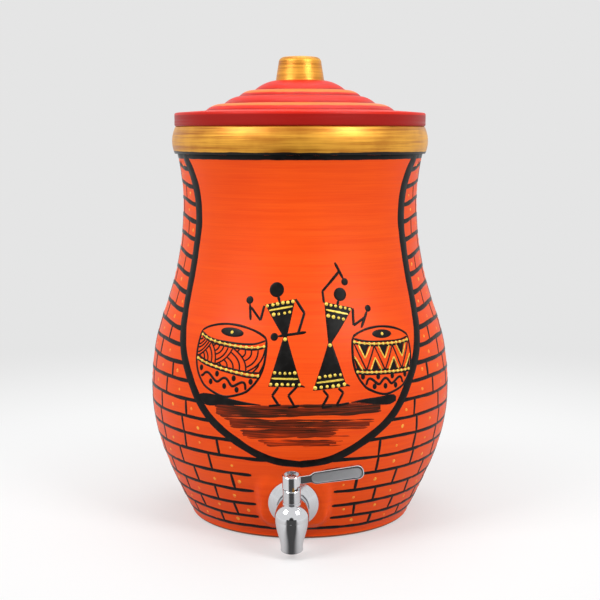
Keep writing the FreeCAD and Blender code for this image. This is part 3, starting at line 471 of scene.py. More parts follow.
def bore(piece, start, end, radius, kind):
    """Cut a round hole through a piece, its wall in the piece's material of that number."""
    sides = 96
    line = [Vector((0, 0)), Vector((radius, 0)), Vector((radius, (end - start).length)),
            Vector((0, (end - start).length))]
    bit = lathe("bit", line, sides,
                lambda index, out, up, around: Vector((out * math.cos(around),
                                                       out * math.sin(around), up)), [kind] * 3)
    for material in piece.data.materials:
        bit.data.materials.append(material)
    bit.rotation_mode = "QUATERNION"
    bit.rotation_quaternion = (end - start).to_track_quat("Z", "Y")
    bit.location = start
    hole = piece.modifiers.new("hole", "BOOLEAN")
    hole.object = bit
    hole.solver = "EXACT"
    graph = bpy.context.evaluated_depsgraph_get()
    bored = bpy.data.meshes.new_from_object(piece.evaluated_get(graph))
    piece.modifiers.clear()
    piece.data = bored
    bpy.data.objects.remove(bit)


def dress(piece, body, slot, *materials):
    """Give a piece its materials and the body that it rides on. The slot argument is not used."""
    for material in materials:
        piece.data.materials.append(material)
    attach(piece, body)
    return piece


# Finishes

CLOUD_ROUGHNESS = 0.55


class Tree:
    """Shader nodes of a material or a world."""

    def __init__(self, tree):
        self.nodes = tree.nodes
        self.links = tree.links

    def node(self, kind, inputs=None, **settings):
        """Node with its settings and inputs, which are numbers or sockets."""
        made = self.nodes.new(kind)
        for setting, choice in settings.items():
            setattr(made, setting, choice)
        for name, given in (inputs or {}).items():
            self.feed(made.inputs[name], given)
        return made

    def feed(self, socket, given):
        """Link or set one socket."""
        if isinstance(given, bpy.types.NodeSocket):
            self.links.new(given, socket)
        else:
            socket.default_value = given

    def sum(self, first, second, operation="ADD"):
        """One sum of two numbers or sockets."""
        return self.node("ShaderNodeMath", {0: first, 1: second}, operation=operation).outputs[0]

    def spread(self, number, low, high, start=0.0, end=1.0):
        """Number that goes smoothly from start to end as another goes from low to high."""
        return self.node("ShaderNodeMapRange", {
            "Value": number, "From Min": low, "From Max": high, "To Min": start,
            "To Max": end}, interpolation_type="SMOOTHSTEP").outputs["Result"]

    def either(self, share, first, second):
        """Shader between two shaders."""
        return self.node("ShaderNodeMixShader", {0: share, 1: first.outputs[0],
                                                 2: second.outputs[0]})


class Finish(Tree):
    """Material in the making."""

    def __init__(self, name, metallic=0.0, coat=0.0, coat_roughness=0.2, specular=0.5):
        self.material = bpy.data.materials.new(name)
        self.material.use_nodes = True
        super().__init__(self.material.node_tree)
        self.shader = self.nodes["Principled BSDF"]
        for socket, number in (("Metallic", metallic), ("Coat Weight", coat),
                               ("Coat Roughness", coat_roughness),
                               ("Specular IOR Level", specular)):
            self.feed(self.shader.inputs[socket], number)

    def place(self):
        """Place on the piece, which moves with it."""
        return self.node("ShaderNodeTexCoord").outputs["Object"]

    def stretched(self, *scales):
        """Place on the piece, scaled along each axis."""
        return self.node("ShaderNodeVectorMath", {0: self.place(), 1: scales},
                         operation="MULTIPLY").outputs[0]

    def clouds(self, place, scale=1.0, detail=3.0):
        """Soft noise from about 0.2 to 0.8."""
        return self.node("ShaderNodeTexNoise", {
            "Vector": place, "Scale": scale, "Detail": detail,
            "Roughness": CLOUD_ROUGHNESS}).outputs["Fac"]

    def vary(self, cloud, start=0.0, end=1.0):
        """Number that goes from start to end over most of a noise's range."""
        return self.spread(cloud, 0.3, 0.7, start, end)

    def mixed(self, first, first_share, second, second_share):
        """Sum of two numbers, each times its share."""
        return self.sum(self.sum(first, first_share, "MULTIPLY"),
                        self.sum(second, second_share, "MULTIPLY"))

    def shaken(self, number, cloud):
        """Place with an uneven edge, as a brush leaves it."""
        return self.sum(number, self.sum(self.sum(cloud, -0.5), 2.4 * MM, "MULTIPLY"))

    def blend(self, share, first, second):
        """Colour between two colours or sockets."""
        mix = self.node("ShaderNodeMix", data_type="RGBA")
        for index, given in ((0, share), (6, first), (7, second)):
            tone = tuple(given) + (1.0,) if isinstance(given, (tuple, list)) else given
            self.feed(mix.inputs[index], tone)
        return mix.outputs[2]

    def cover(self, tone, roughness):
        """Set the colour and the roughness."""
        if isinstance(tone, (tuple, list)):
            tone = tuple(tone) + (1.0,)
        self.feed(self.shader.inputs["Base Color"], tone)
        self.feed(self.shader.inputs["Roughness"], roughness)

    def relief(self, height, depth):
        """Raise the surface by a height from 0 to 1, depth metres at most."""
        bump = self.node("ShaderNodeBump", {"Height": height, "Strength": 1.0,
                                            "Distance": depth})
        self.feed(self.shader.inputs["Normal"], bump.outputs["Normal"])
        return self.material


def tint(paint, share=1):
    """Plain tuple of a colour, darker with a share under 1."""
    return tuple(channel * share for channel in paint)


def level_streaks(finish):
    """Broad and fine brush streaks that run round the pot."""
    broad = finish.clouds(finish.stretched(7, 7, 330), detail=4)
    fine = finish.clouds(finish.stretched(26, 26, 1500), detail=2)
    return finish.mixed(broad, 0.62, fine, 0.38)


def wall_paint(paints):
    """Orange wall paint, brushed on while the pot turned."""
    finish = Finish("orange_wall_paint", specular=0.22)
    streaks = level_streaks(finish)
    patches = finish.clouds(finish.place(), scale=13, detail=2)
    share = finish.mixed(streaks, 0.7, patches, 0.3)
    tone = finish.blend(finish.vary(share), tint(paints.wall_deep), tint(paints.wall))
    finish.cover(tone, finish.vary(streaks, 0.36, 0.52))
    return finish.relief(streaks, 0.16 * MM)


def gold_paint(paints, name, black_below=0.0):
    """Gold paint with brush streaks, thinner in places, above an uneven black edge."""
    finish = Finish(name, metallic=0.5)
    streaks = level_streaks(finish)
    patches = finish.clouds(finish.place(), scale=30, detail=3)
    share = finish.mixed(streaks, 0.7, patches, 0.3)
    tone = finish.blend(finish.spread(share, 0.36, 0.62), tint(paints.gold_deep),
                        tint(paints.gold))
    height = finish.node("ShaderNodeSeparateXYZ", {0: finish.place()}).outputs[2]
    soft = 0.2 * MM
    above = finish.spread(finish.shaken(height, patches), black_below - soft,
                          black_below + soft)
    finish.cover(finish.blend(above, tint(paints.black), tone),
                 finish.vary(streaks, 0.3, 0.46))
    return finish.relief(streaks, 0.2 * MM)


def raw_clay(paints):
    """Unpainted fired clay with turning marks and sandy grain."""
    finish = Finish("raw_clay", specular=0.25)
    marks = finish.clouds(finish.stretched(5, 5, 260), detail=3)
    sand = finish.clouds(finish.place(), scale=900, detail=2)
    spots = finish.clouds(finish.place(), scale=22, detail=3)
    share = finish.spread(finish.mixed(marks, 0.5, spots, 0.5), 0.32, 0.68)
    finish.cover(finish.blend(share, tint(paints.clay, 0.68), tint(paints.clay)),
                 finish.vary(sand, 0.82, 0.95))
    return finish.relief(finish.mixed(marks, 0.6, sand, 0.4), 0.3 * MM)


def lid_paint(paints, side_height):
    """Red lid paint with orange on two of the rings and a thin one at the knob, with painted shade
    on the brim's upright side and in the grooves between the rings.
    """
    finish = Finish("red_lid_paint", specular=0.2)
    place = finish.place()
    split = finish.node("ShaderNodeSeparateXYZ", {0: place})
    flat = finish.node("ShaderNodeCombineXYZ", {0: split.outputs[0], 1: split.outputs[1]})
    out = finish.node("ShaderNodeVectorMath", {0: flat.outputs[0]},
                      operation="LENGTH").outputs["Value"]
    fine, along = 420, 9
    swept = finish.node("ShaderNodeCombineXYZ", {
        0: finish.sum(out, fine, "MULTIPLY"), 1: finish.sum(split.outputs[2], fine, "MULTIPLY"),
        2: finish.sum(split.outputs[0], along, "MULTIPLY")}).outputs[0]
    streaks = finish.clouds(swept, detail=4)
    edge = finish.shaken(out, finish.clouds(place, scale=55, detail=2))
    tone = finish.blend(finish.vary(streaks), tint(paints.lid_deep), tint(paints.lid))
    soft = 0.6 * MM
    for start, end in LID_BANDS:
        inside = finish.sum(
            finish.spread(edge, start * MM - soft, start * MM + soft),
            finish.spread(edge, end * MM - soft, end * MM + soft, 1.0, 0.0), "MULTIPLY")
        tone = finish.blend(inside, tone, tint(paints.lid_orange))
    # Painted shade: darker red in the grooves at the edges of the steps, where shade falls
    for radius, _, _ in LID_STEPS:
        away = finish.sum(finish.sum(edge, -radius * MM), 0, "ABSOLUTE")
        groove_shade = finish.spread(away, 0.3 * MM, 1.9 * MM, start=0.75, end=0.0)
        tone = finish.blend(groove_shade, tone, tint(paints.lid_painted_shade))
    # Painted shade: the brim's upright side, below the top's edge, turns darker red
    below = finish.spread(split.outputs[2], side_height - 2.9 * MM, side_height - 2.1 * MM,
                          start=1.0, end=0.0)
    tone = finish.blend(below, tone, tint(paints.lid_painted_shade))
    finish.cover(tone, finish.vary(streaks, 0.34, 0.5))
    return finish.relief(streaks, 0.18 * MM)


def line_paint(paints):
    """Black paint of the lines and figures, a little uneven where the brush ran dry."""
    finish = Finish("black_line_paint", specular=0.13)
    patches = finish.clouds(finish.place(), scale=160, detail=3)
    thin = tuple(channel + 0.005 for channel in paints.black)
    finish.cover(finish.blend(finish.spread(patches, 0.4, 0.75), tint(paints.black), thin),
                 finish.vary(patches, 0.3, 0.46))
    return finish.relief(patches, 0.12 * MM)


def bead_paint(paints):
    """Thick gold paint that stands up in beads and lines."""
    finish = Finish("raised_gold_paint", metallic=0.2, coat=0.2, coat_roughness=0.2)
    patches = finish.clouds(finish.place(), scale=420, detail=2)
    deep = tint(paints.bead, 0.66)
    finish.cover(finish.blend(finish.spread(patches, 0.3, 0.6), deep, tint(paints.bead)),
                 finish.vary(patches, 0.24, 0.38))
    return finish.relief(patches, 0.1 * MM)


def dot_paint(paints):
    """Small thin dots of yellow paint."""
    finish = Finish("yellow_dot_paint")
    patches = finish.clouds(finish.place(), scale=500, detail=2)
    finish.cover(finish.blend(finish.spread(patches, 0.35, 0.7), tint(paints.dot),
                              tint(paints.wall)), finish.vary(patches, 0.4, 0.55))
    return finish.relief(patches, 0.05 * MM)


def dry_brush(paints):
    """Brown strokes that let the orange through where the brush ran dry."""
    finish = Finish("dry_brush_paint", specular=0.15)
    hairs = finish.clouds(finish.stretched(24, 24, 1300), detail=3)
    tufts = finish.clouds(finish.stretched(30, 30, 90), detail=2)
    share = finish.mixed(hairs, 0.6, tufts, 0.5)
    height = finish.node("ShaderNodeSeparateXYZ", {0: finish.place()}).outputs[2]
    dry = finish.spread(height, 94 * MM, 121 * MM, start=0.06, end=-0.1)
    share = finish.sum(share, dry)
    brown = tuple(dark * 0.5 + bright * 0.22
                  for dark, bright in zip(paints.ground, paints.wall_deep))
    tone = finish.blend(finish.spread(share, 0.4, 0.58), tint(paints.ground), brown)
    tone = finish.blend(finish.spread(share, 0.58, 0.76, end=0.9), tone, tint(paints.wall_deep))
    finish.cover(tone, finish.vary(hairs, 0.42, 0.6))
    return finish.relief(hairs, 0.1 * MM)


def metal(name, tone, roughness, waves=0.0, scale=60.0):
    """Plated or turned metal with a fine haze, and soft waves if it is cast."""
    finish = Finish(name, metallic=1.0)
    haze = finish.clouds(finish.place(), scale=380, detail=3)
    finish.cover(finish.blend(haze, tint(tone, 0.9), tone),
                 finish.spread(haze, 0.3, 0.75, roughness * 0.75, roughness * 1.35))
    swell = finish.clouds(finish.place(), scale, detail=1)
    return finish.relief(swell, waves)


def turned_metal(name, tone, roughness, axis):
    """Metal with fine rings round an axis that is near Z or Y."""
    finish = Finish(name, metallic=1.0)
    scales = (60, 60, 2600) if axis == "Z" else (60, 2600, 60)
    rings = finish.clouds(finish.stretched(*scales), detail=2)
    finish.cover(finish.blend(rings, tint(tone, 0.82), tone),
                 finish.vary(rings, roughness * 0.7, roughness * 1.3))
    return finish.relief(rings, 0.02 * MM)


def lever_metal(name, tone, joint):
    """Chrome whose sunk panel on the lever's face is dull and pale."""
    finish = Finish(name, metallic=1.0)
    place = finish.place()
    facing = Vector(joint["axis"]).cross(Vector((1, 0, 0))).normalized()
    root = Vector(joint["pos_m"])
    depth = finish.sum(finish.node("ShaderNodeVectorMath", {0: place, 1: facing},
                                   operation="DOT_PRODUCT").outputs["Value"],
                       -root.dot(facing))
    out = finish.node("ShaderNodeSeparateXYZ", {0: place}).outputs[0]
    grain = finish.clouds(place, scale=1500, detail=2)
    haze = finish.clouds(place, scale=380, detail=3)
    panel_high, panel_low, fade = 1.5 * MM, 1.0 * MM, 0.15 * MM
    panel_start, panel_fade = 14 * MM, 1 * MM
    dull = finish.sum(finish.spread(depth, panel_high, panel_high + fade, 1.0, 0.0),
                      finish.spread(depth, panel_low, panel_low + fade), "MULTIPLY")
    dull = finish.sum(dull, finish.spread(out, panel_start, panel_start + panel_fade),
                      "MULTIPLY")
    finish.cover(finish.blend(dull, tone, tint(tone, 0.8)),
                 finish.sum(finish.spread(haze, 0.3, 0.75, 0.06, 0.12),
                            finish.sum(dull, 0.42, "MULTIPLY")))
    return finish.relief(finish.sum(grain, dull, "MULTIPLY"), 0.12 * MM)


def soft_plastic(name, tone, roughness, grain):
    """Rubber or plastic with a fine skin."""
    finish = Finish(name, specular=0.4)
    skin = finish.clouds(finish.place(), grain, detail=3)
    pale = tuple(min(channel * 1.25 + 0.004, 1) for channel in tone)
    finish.cover(finish.blend(skin, tone, pale),
                 finish.vary(skin, roughness - 0.07, roughness + 0.07))
    return finish.relief(skin, 0.05 * MM)


# Paint on the wall

class Coat:
    """Raised paint that follows the wall. Places are (across, up) in millimetres."""

    shoulder = 0.16
    dome_rings = (0.4, 0.7, 0.9, 1.0)
    drifts = 100
    width_waves = 0.09
    side_waves = 0.05

    def __init__(self, name, wall, picture, seed):
        self.name = name
        self.wall = wall
        self.picture = picture
        self.dice = random.Random(seed)
        self.seed = seed
        self.points = []
        self.faces = []

    def around(self, across):
        """Way round the pot of a place across the picture."""
        return self.picture.turn + across * MM / self.picture.scale_radius

    def spot(self, across, up, lift):
        """Place on the wall in metres."""
        return self.wall.place(self.around(across), up * MM, lift)

    def ribbon(self, lefts, rights, lift=None, columns=3):
        """Closed band between two edges that run side by side."""
        lift = self.picture.line if lift is None else lift
        flat = 1 - 2 * self.shoulder
        shares = [0.0] + [self.shoulder + flat * step / (columns - 1) for step in range(columns)]
        shares.append(1.0)
        rows = []
        for left, right in zip(lefts, rights):
            row = []
            for share in shares:
                low = share in (0.0, 1.0)
                across = left[0] * (1 - share) + right[0] * share
                up = left[1] * (1 - share) + right[1] * share
                row.append(len(self.points))
                self.points.append(self.spot(across, up, -self.picture.sunk if low else lift))
            rows.append(row)
        for row, after in zip(rows, rows[1:]):
            for start, end, high_end, high_start in zip(row, row[1:], after[1:], after):
                self.faces.append((start, end, high_end, high_start))
            self.faces.append((row[-1], row[0], after[0], after[-1]))
        self.faces.append(tuple(reversed(rows[0])))
        self.faces.append(tuple(rows[-1]))

    def stroke(self, points, width, lift=None, shake=0.18, taper=0.55, step=2.6, wide_end=None):
        """Brush stroke along a smooth line, a little uneven and round at its ends."""
        line = rounded(points, step)
        lefts = []
        rights = []
        drift = self.dice.random() * self.drifts
        last = len(line) - 1
        for index, place in enumerate(line):
            ahead = line[min(index + 1, last)] - line[max(index - 1, 0)]
            metric = self.wall.thrown(place.y * MM) / self.picture.scale_radius
            across = Vector((-ahead.y, ahead.x * metric)).normalized()
            way = index * step
            wave = noise.noise(Vector((drift, way * self.width_waves, self.seed)))
            wide = width / MM * (1 + shake * wave) / 2
            if wide_end is not None:
                share = index / last
                wide += (wide_end / MM - width / MM) / 2 * share
            if index in (0, last):
                wide *= taper
            other = Vector((drift + self.drifts / 2, way * self.side_waves, self.seed))
            middle = place + Vector((0, noise.noise(other) * shake))
            side = Vector((across.x / metric, across.y)) * wide
            lefts.append(middle + side)
            rights.append(middle - side)
        self.ribbon(lefts, rights, lift)

    def patch(self, lefts, rights, step=3.0, lift=None, columns=7):
        """Filled shape between two edges through a few places each."""
        count = max(len(rounded(lefts, step)), len(rounded(rights, step)))
        self.ribbon(spaced(lefts, count), spaced(rights, count), lift, columns)

    def dome(self, across, up, wide, tall=None, rise=None, lean=0.0, power=2, sides=14):
        """Round or oval spot, flat with a high power and a bead with a low one."""
        tall = wide if tall is None else tall
        rise = self.picture.line if rise is None else rise
        metric = self.wall.thrown(up * MM) / self.picture.scale_radius
        centre = len(self.points)
        self.points.append(self.spot(across, up, rise))
        rings = []
        for share in self.dome_rings:
            lift = rise * (1 - share**power) - (self.picture.sunk if share == 1.0 else 0)
            rings.append(range(len(self.points), len(self.points) + sides))
            for step in range(sides):
                turn = math.tau * step / sides
                east = wide / MM * share * math.cos(turn)
                north = tall / MM * share * math.sin(turn)
                reach = (east * math.cos(lean) - north * math.sin(lean)) / metric
                climb = east * math.sin(lean) + north * math.cos(lean)
                self.points.append(self.spot(across + reach, up + climb, lift))
        for step in range(sides):
            after = (step + 1) % sides
            self.faces.append((centre, rings[0][step], rings[0][after]))
            for inner, outer in zip(rings, rings[1:]):
                self.faces.append((inner[step], outer[step], outer[after], inner[after]))
        self.faces.append(tuple(reversed(rings[-1])))

    def beads(self, start, end, count, jitter=0.25):
        """Row of raised beads."""
        radius = self.picture.bead_radius
        for index in range(count):
            share = (index + 0.5) / count
            across = start[0] * (1 - share) + end[0] * share + self.dice.uniform(-jitter, jitter)
            up = start[1] * (1 - share) + end[1] * share + self.dice.uniform(-jitter, jitter)
            self.dome(across, up, radius * self.dice.uniform(0.85, 1.15),
                      rise=self.picture.bead_rise)

    def finish(self, material):
        """Make the piece and let it ride on the pot."""
        mesh = bpy.data.meshes.new(self.name)
        mesh.from_pydata(self.points, [], self.faces)
        mesh.shade_smooth()
        mesh.set_sharp_from_angle(angle=PAINT_FOLD)
        piece = bpy.data.objects.new(self.name, mesh)
        bpy.context.scene.collection.objects.link(piece)
        return dress(piece, "pot", "painted_clay", material)


def spaced(points, count):
    """That many even places on the smooth line through a few given ones."""
    line = rounded(points, 0.5)
    ways = [0.0]
    for before, after in zip(line, line[1:]):
        ways.append(ways[-1] + (after - before).length)
    places = []
    for index in range(count):
        way = ways[-1] * index / (count - 1)
        above = min(max(bisect.bisect(ways, way), 1), len(ways) - 1)
        gap = ways[above] - ways[above - 1]
        share = (way - ways[above - 1]) / gap if gap else 0
        places.append(line[above - 1].lerp(line[above], share))
    return places


# Half of the picture's outline, from its lowest place up: (degrees from its middle, height)
OUTLINE_HALF = ((0, 75), (10, 78.5), (21, 90), (35, 113.5), (45, 147), (50.9, 172),
                (55.6, 207), (56.4, 245), (55.5, 275), (57, 298), (60.5, 316), (66.5, 333))
# The outline is round where it starts below this height, and straight above
OUTLINE_ROUND_BELOW = 80


def outline_place(picture, degrees, height):
    """Place in the picture's millimetres."""
    return Vector((math.radians(degrees) * picture.scale_radius / MM, height))


def outline_half_width(picture, height):
    """Half of the picture's width at a height in millimetres, 0 below it."""
    if height <= OUTLINE_HALF[0][1]:
        return 0.0
    for (low, start), (high, end) in zip(OUTLINE_HALF, OUTLINE_HALF[1:]):
        if height <= end:
            share = (height - start) / (end - start)
            bulge = math.sqrt(share) if start < OUTLINE_ROUND_BELOW else share
            return outline_place(picture, low + (high - low) * bulge, height).x
    return outline_place(picture, OUTLINE_HALF[-1][0], height).x


def mortar_heights(bricks, top):
    """Heights of the level mortar lines in millimetres."""
    heights = [bricks.first / MM]
    course = bricks.low_course
    while heights[-1] + course / MM < top:
        heights.append(heights[-1] + course / MM)
        course = min(course + bricks.growth, bricks.course)
    return heights


class Bricks:
    """Brick pattern round the pot outside the picture and the tap."""

    stroke_length = 90
    stroke_places = 9
    over_pad = 6
    dip_heights = (130, 215)
    swell_heights = (110, 200)
    slim_heights = (150, 230)
    even_above = 80
    wander = 1.1
    wander_waves = 0.02
    wander_seed = 3

    def __init__(self, wall, picture, bricks):
        self.wall = wall
        self.picture = picture
        self.bricks = bricks
        self.full_round = math.tau * picture.scale_radius / MM
        self.tap = -picture.turn * picture.scale_radius / MM

    def ends(self, height):
        """Where a line starts right of the picture or tap and ends left of it."""
        half = outline_half_width(self.picture, height)
        gap = self.bricks.pad_gap / MM
        near_tap = height < (self.wall.pad.height + self.wall.pad.tall / 2) / MM + self.over_pad
        if near_tap and height > self.bricks.first / MM + 1:
            return self.tap + gap, self.full_round + self.tap - gap
        if half == 0:
            return 0.0, self.full_round
        return half, self.full_round - half

    def drop(self, height, across):
        """How far a line has dropped on its way to the picture."""
        start, end = self.ends(height)
        away = min(across - start, end - across)
        strength = smooth(*self.dip_heights, height) * self.bricks.dip / MM
        return strength * (1 - smooth(0, self.bricks.dip_length / MM, away))

    def level(self, coat, height):
        """One level line, cut into shorter brush strokes that run on."""
        start, end = self.ends(height)
        count = max(round((end - start) / self.stroke_length), 1)
        wide = self.bricks.mortar
        fat = wide + self.bricks.swell * smooth(*self.swell_heights, height)
        for index in range(count):
            low = start + (end - start) * index / count
            high = start + (end - start) * (index + 1) / count
            gaps = self.stroke_places - 1
            places = [Vector((low + (high - low) * step / gaps, 0)) for step in range(gaps + 1)]
            for place in places:
                wave = Vector((place.x * self.wander_waves, height, self.wander_seed))
                place.y = height - self.drop(height, place.x)
                place.y += noise.noise(wave) * self.wander
            first = fat if index == 0 else wide
            last = fat if index == count - 1 else wide
            coat.stroke(places, first, wide_end=last, shake=0.3,
                        taper=0.9 if height > self.even_above else 0.6)

    def uprights(self, lines, dots, low, high, number):
        """Upright lines and dots of one course."""
        start_low, end_low = self.ends(low + 1)
        start_high, end_high = self.ends(high - 1)
        middle = (low + high) / 2
        metric = self.wall.thrown(middle * MM) / self.picture.scale_radius
        start = max(start_low, start_high)
        end = min(end_low, end_high)
        count = max(round((end - start) * metric / (self.bricks.brick / MM)), 2)
        brick = (end - start) / count
        shift = 0.5 if number % 2 else 1.0
        edges = [start + brick * (shift + index) for index in range(count)]
        edges = [edge for edge in edges if edge < end - brick * 0.3]
        for edge in edges:
            lean = lines.dice.uniform(-0.7, 0.7)
            foot = low - self.drop(low, edge) + 0.4
            head = high - self.drop(high, edge) - 0.4
            shaken = edge + lines.dice.uniform(-1.4, 1.4)
            slim = smooth(*self.slim_heights, middle)
            wide = self.bricks.upright * (1 - slim) + self.bricks.thin * slim
            lines.stroke([(shaken - lean, foot), (shaken + lean, head)], wide,
                         shake=0.35, taper=0.8, step=3.6)
        for left, right in zip([start] + edges, edges + [end]):
            if right - left > brick * 0.4 and dots.dice.random() < 0.9:
                across = (left + right) / 2 + dots.dice.uniform(-2.5, 2.5)
                up = middle - self.drop(middle, across) + dots.dice.uniform(-1.4, 1.4)
                dots.dome(across, up, self.bricks.dot * dots.dice.uniform(0.75, 1.2), power=4,
                          sides=9)


# Figures, each place (across, up) in millimetres from the middle of the picture
DANCERS = (
    {"head": (-20.3, 221, 6.5), "neck": ((-18.9, 216.5), (-17.3, 210.5)),
     "shoulders": ((-31.4, 208.3), (-2.5, 213.8)), "waist": (-11.6, 183),
     "hem": ((-25, 142.2), (2.9, 142.2)),
     "limbs": (((-30.4, 207.6), (-32.7, 195.8), (-42, 206.2)),
               ((-3.8, 213.4), (3.6, 202.2), (-1.5, 185.8)),
               ((-15.9, 142), (-20.3, 134.9), (-15.7, 127.2)), ((-22.7, 126.1), (-14, 127.1)),
               ((-2.4, 142.6), (-8.5, 135.2), (-4.3, 126.7)), ((-8.5, 124.9), (-0.7, 126.6))),
     "sticks": (((-41.2, 195.6), (-43.4, 208.8), 3.4), ((4.8, 186.9), (-17.2, 183.3), 3.4))},
    {"head": (35.1, 216.8, 5.8), "neck": ((33.3, 212), (31.6, 207.5)),
     "shoulders": ((19.3, 211.2), (46.5, 205)), "waist": (23.3, 178),
     "hem": ((7.6, 139), (36.5, 142)),
     "limbs": (((20.4, 210.4), (19.6, 219.8), (35.5, 235.6)),
               ((45.4, 204.8), (44.2, 191.1), (56, 197.3)),
               ((17, 139.6), (20.6, 134.5), (15.9, 125)), ((15.9, 125), (23.4, 125.8)),
               ((28.4, 140.6), (32, 136.9), (26.7, 126)), ((26.7, 126), (36.2, 127.6))),
     "sticks": (((32, 243.2), (39, 229.5), 3.2), ((50.7, 188.8), (58.3, 201.8), 3.0))},
)


# Bands of the ground: left end, right end, heights there and in the middle, width, strokes
GROUND_BANDS = ((-68, 67, 118.3, 122.4, 122.2, 7.6, 5), (-56.5, 58, 109.5, 111, 108.8, 6.4, 4),
                (-46, 28, 100.6, 103.4, 102.4, 5.4, 3), (-30, 32, 93.6, 95, 93.8, 3, 2))
# Heights of the loose strokes of the ground
LOOSE_STROKES = (113.5, 109.2, 104.4, 99.6, 96.4, 94.2, 91.6)
# Black mounds at the ends of the ground: upper edge and lower edge
MOUNDS = ((((-82, 130), (-77, 132.6), (-65, 132.4), (-44, 128.8), (-29, 126.8)),
           ((-81, 127), (-74, 121.4), (-60, 123), (-42, 125.2), (-29, 126.1))),
          (((38, 128.4), (48, 130.4), (62, 131.3), (73, 132), (76.5, 129.5)),
           ((38.2, 127.7), (46, 126.9), (58, 124), (70, 122.6), (76, 125))))


# Beads and raised lines of a dancer: share of the way to the waist, and number of beads
SHOULDER_BEADS = ((0.045, 6), (0.33, 4))
SHOULDER_LINE = 0.19
HEM_BEADS = ((0.05, 6), (0.28, 5))
HEM_LINE = 0.165
BEAD_INSET = 0.03
LINE_INSET = 0.08
HALF_WAIST = 1.6


def paint_dancer(black, gold, picture, figure):
    """Dancer of two triangles with stick limbs, beaters and rows of beads."""
    left, right = (Vector(place) for place in figure["shoulders"])
    waist = Vector(figure["waist"])
    hem_left, hem_right = (Vector(place) for place in figure["hem"])
    nip = Vector((HALF_WAIST, 0))
    black.patch([left, waist - nip], [right, waist + nip])
    black.patch([waist - nip, hem_left], [waist + nip, hem_right])
    spur = [hem_right - Vector((3, -1.6)), hem_right + Vector((0.6, 0))]
    black.stroke(spur, picture.limb * 0.8)
    across, up, radius = figure["head"]
    black.dome(across, up, radius * MM, power=8, sides=28)
    black.stroke(figure["neck"], picture.limb * 1.15)
    for limb in figure["limbs"]:
        for start, end in zip(limb, limb[1:]):
            black.stroke([start, end], picture.limb, taper=0.85)
    for grip, tip, radius in figure["sticks"]:
        black.stroke([grip, tip], picture.limb)
        way = (Vector(tip) - Vector(grip)).normalized()
        ball = Vector(tip) + way * radius * 0.9
        black.dome(ball.x, ball.y, radius * MM, power=8, sides=20)

    def across_figure(low, high, share, inset):
        start = low.lerp(waist, share)
        end = high.lerp(waist, share)
        return start.lerp(end, inset), end.lerp(start, inset)

    for low, high, rows in ((left, right, SHOULDER_BEADS), (hem_left, hem_right, HEM_BEADS)):
        for share, count in rows:
            gold.beads(*across_figure(low, high, share, BEAD_INSET), count)
    for low, high, share in ((left, right, SHOULDER_LINE), (hem_left, hem_right, HEM_LINE)):
        gold.stroke(across_figure(low, high, share, LINE_INSET), picture.bead_line,
                    picture.bead_rise * 0.8)
    gold.dome(waist.x, waist.y - 2, picture.bead_radius * 1.15, rise=picture.bead_rise)


class Drum:
    """Bowl-shaped drum, seen a little from above."""

    bulge = 0.15
    level_tilt = 0.25
    wave_tilt = 0.65

    def __init__(self, centre, half, depth, lean, tip, sag, band, tilt):
        self.centre = Vector(centre)
        self.half = half
        self.depth = depth
        self.lean = Matrix.Rotation(lean, 2)
        self.tip = tip
        self.sag = sag
        self.band = band
        self.tilt = tilt

    def front(self, across, down):
        """Place on the front, from -1 to 1 across and from 0 to 1 down."""
        wide = self.half * math.sqrt(max(1 - abs(down)**3, 0))
        wide *= 1 + self.bulge * down * (1 - down)
        sag = self.sag * (1 - down) * math.sqrt(max(1 - across**2, 0))
        return self.centre + self.lean @ Vector((across * wide, -down * self.depth - sag))

    def band_place(self, across, down):
        """Place on the front where the bands run lower towards the right."""
        return self.front(across, down + self.tilt * across * (self.level_tilt + down))

    def wave_place(self, across, down):
        """Place on the front under the lower bead chain."""
        return self.front(across, down + self.tilt * across * self.wave_tilt)

    def back(self, across):
        """Place on the far edge of the top, from -1 to 1 across."""
        rise = self.tip * max(1 - across**2, 0)**0.7
        return self.centre + self.lean @ Vector((across * self.half, rise))


def paint_drum(black, gold, picture, drum):
    """Outline, top, bead chains and lower band that both drums share."""
    thin = picture.limb * 0.85
    edge = (-1, -0.95, -0.8, -0.55, -0.25, 0, 0.25, 0.55, 0.8, 0.95, 1)
    black.stroke([drum.back(across) for across in edge], thin)
    rows = 10
    side = [row / rows for row in range(rows)]
    bowl = [drum.front(-1, down) for down in side] + [drum.front(0, 1)]
    bowl += [drum.front(1, down) for down in reversed(side)]
    black.stroke(bowl, thin * 1.1)
    middle = drum.centre + Vector((0, drum.tip / 3))
    black.dome(*middle, drum.half * 0.39 * MM, drum.tip * 0.42 * MM, power=8, sides=24,
               lean=math.atan2(drum.lean[1][0], drum.lean[0][0]))
    gold.dome(*middle, picture.bead_radius, rise=picture.bead_rise)
    rim_chain = 0.045
    count = 13
    reach = 0.94
    line_gaps = (-0.04, 0.035)
    across_band = (-1, -0.7, -0.3, 0.3, 0.7, 1)
    for down in (rim_chain, drum.band):
        chain = [drum.band_place(-reach + 2 * reach * step / (count - 1), down)
                 for step in range(count)]
        gold.stroke(chain, picture.bead_line * 0.5, picture.bead_rise * 0.45)
        for place in chain:
            gold.dome(*place, picture.bead_radius * 0.9, rise=picture.bead_rise)
        for gap in line_gaps:
            place = drum.front if down + gap < rim_chain / 2 else drum.band_place
            black.stroke([place(share, down + gap) for share in across_band], thin * 0.9)
    bends = 6
    steps = 48
    level = (drum.band + 1) / 2 - 0.04
    reach = 0.9
    places = []
    for step in range(steps + 1):
        wave = 0.055 * math.cos(math.pi * bends * step / steps)
        places.append(drum.wave_place(-reach + 2 * reach * step / steps, level + wave))
    black.stroke(places, picture.limb, step=1.2, shake=0.1)
    reach = 0.82
    dot_gaps = (-0.09, 0.095)
    for index in range(bends + 1):
        spot = drum.wave_place(-reach + 2 * reach * index / bends, level + dot_gaps[index % 2])
        black.dome(*spot, 2.1 * MM, 2.7 * MM, power=6, sides=14)


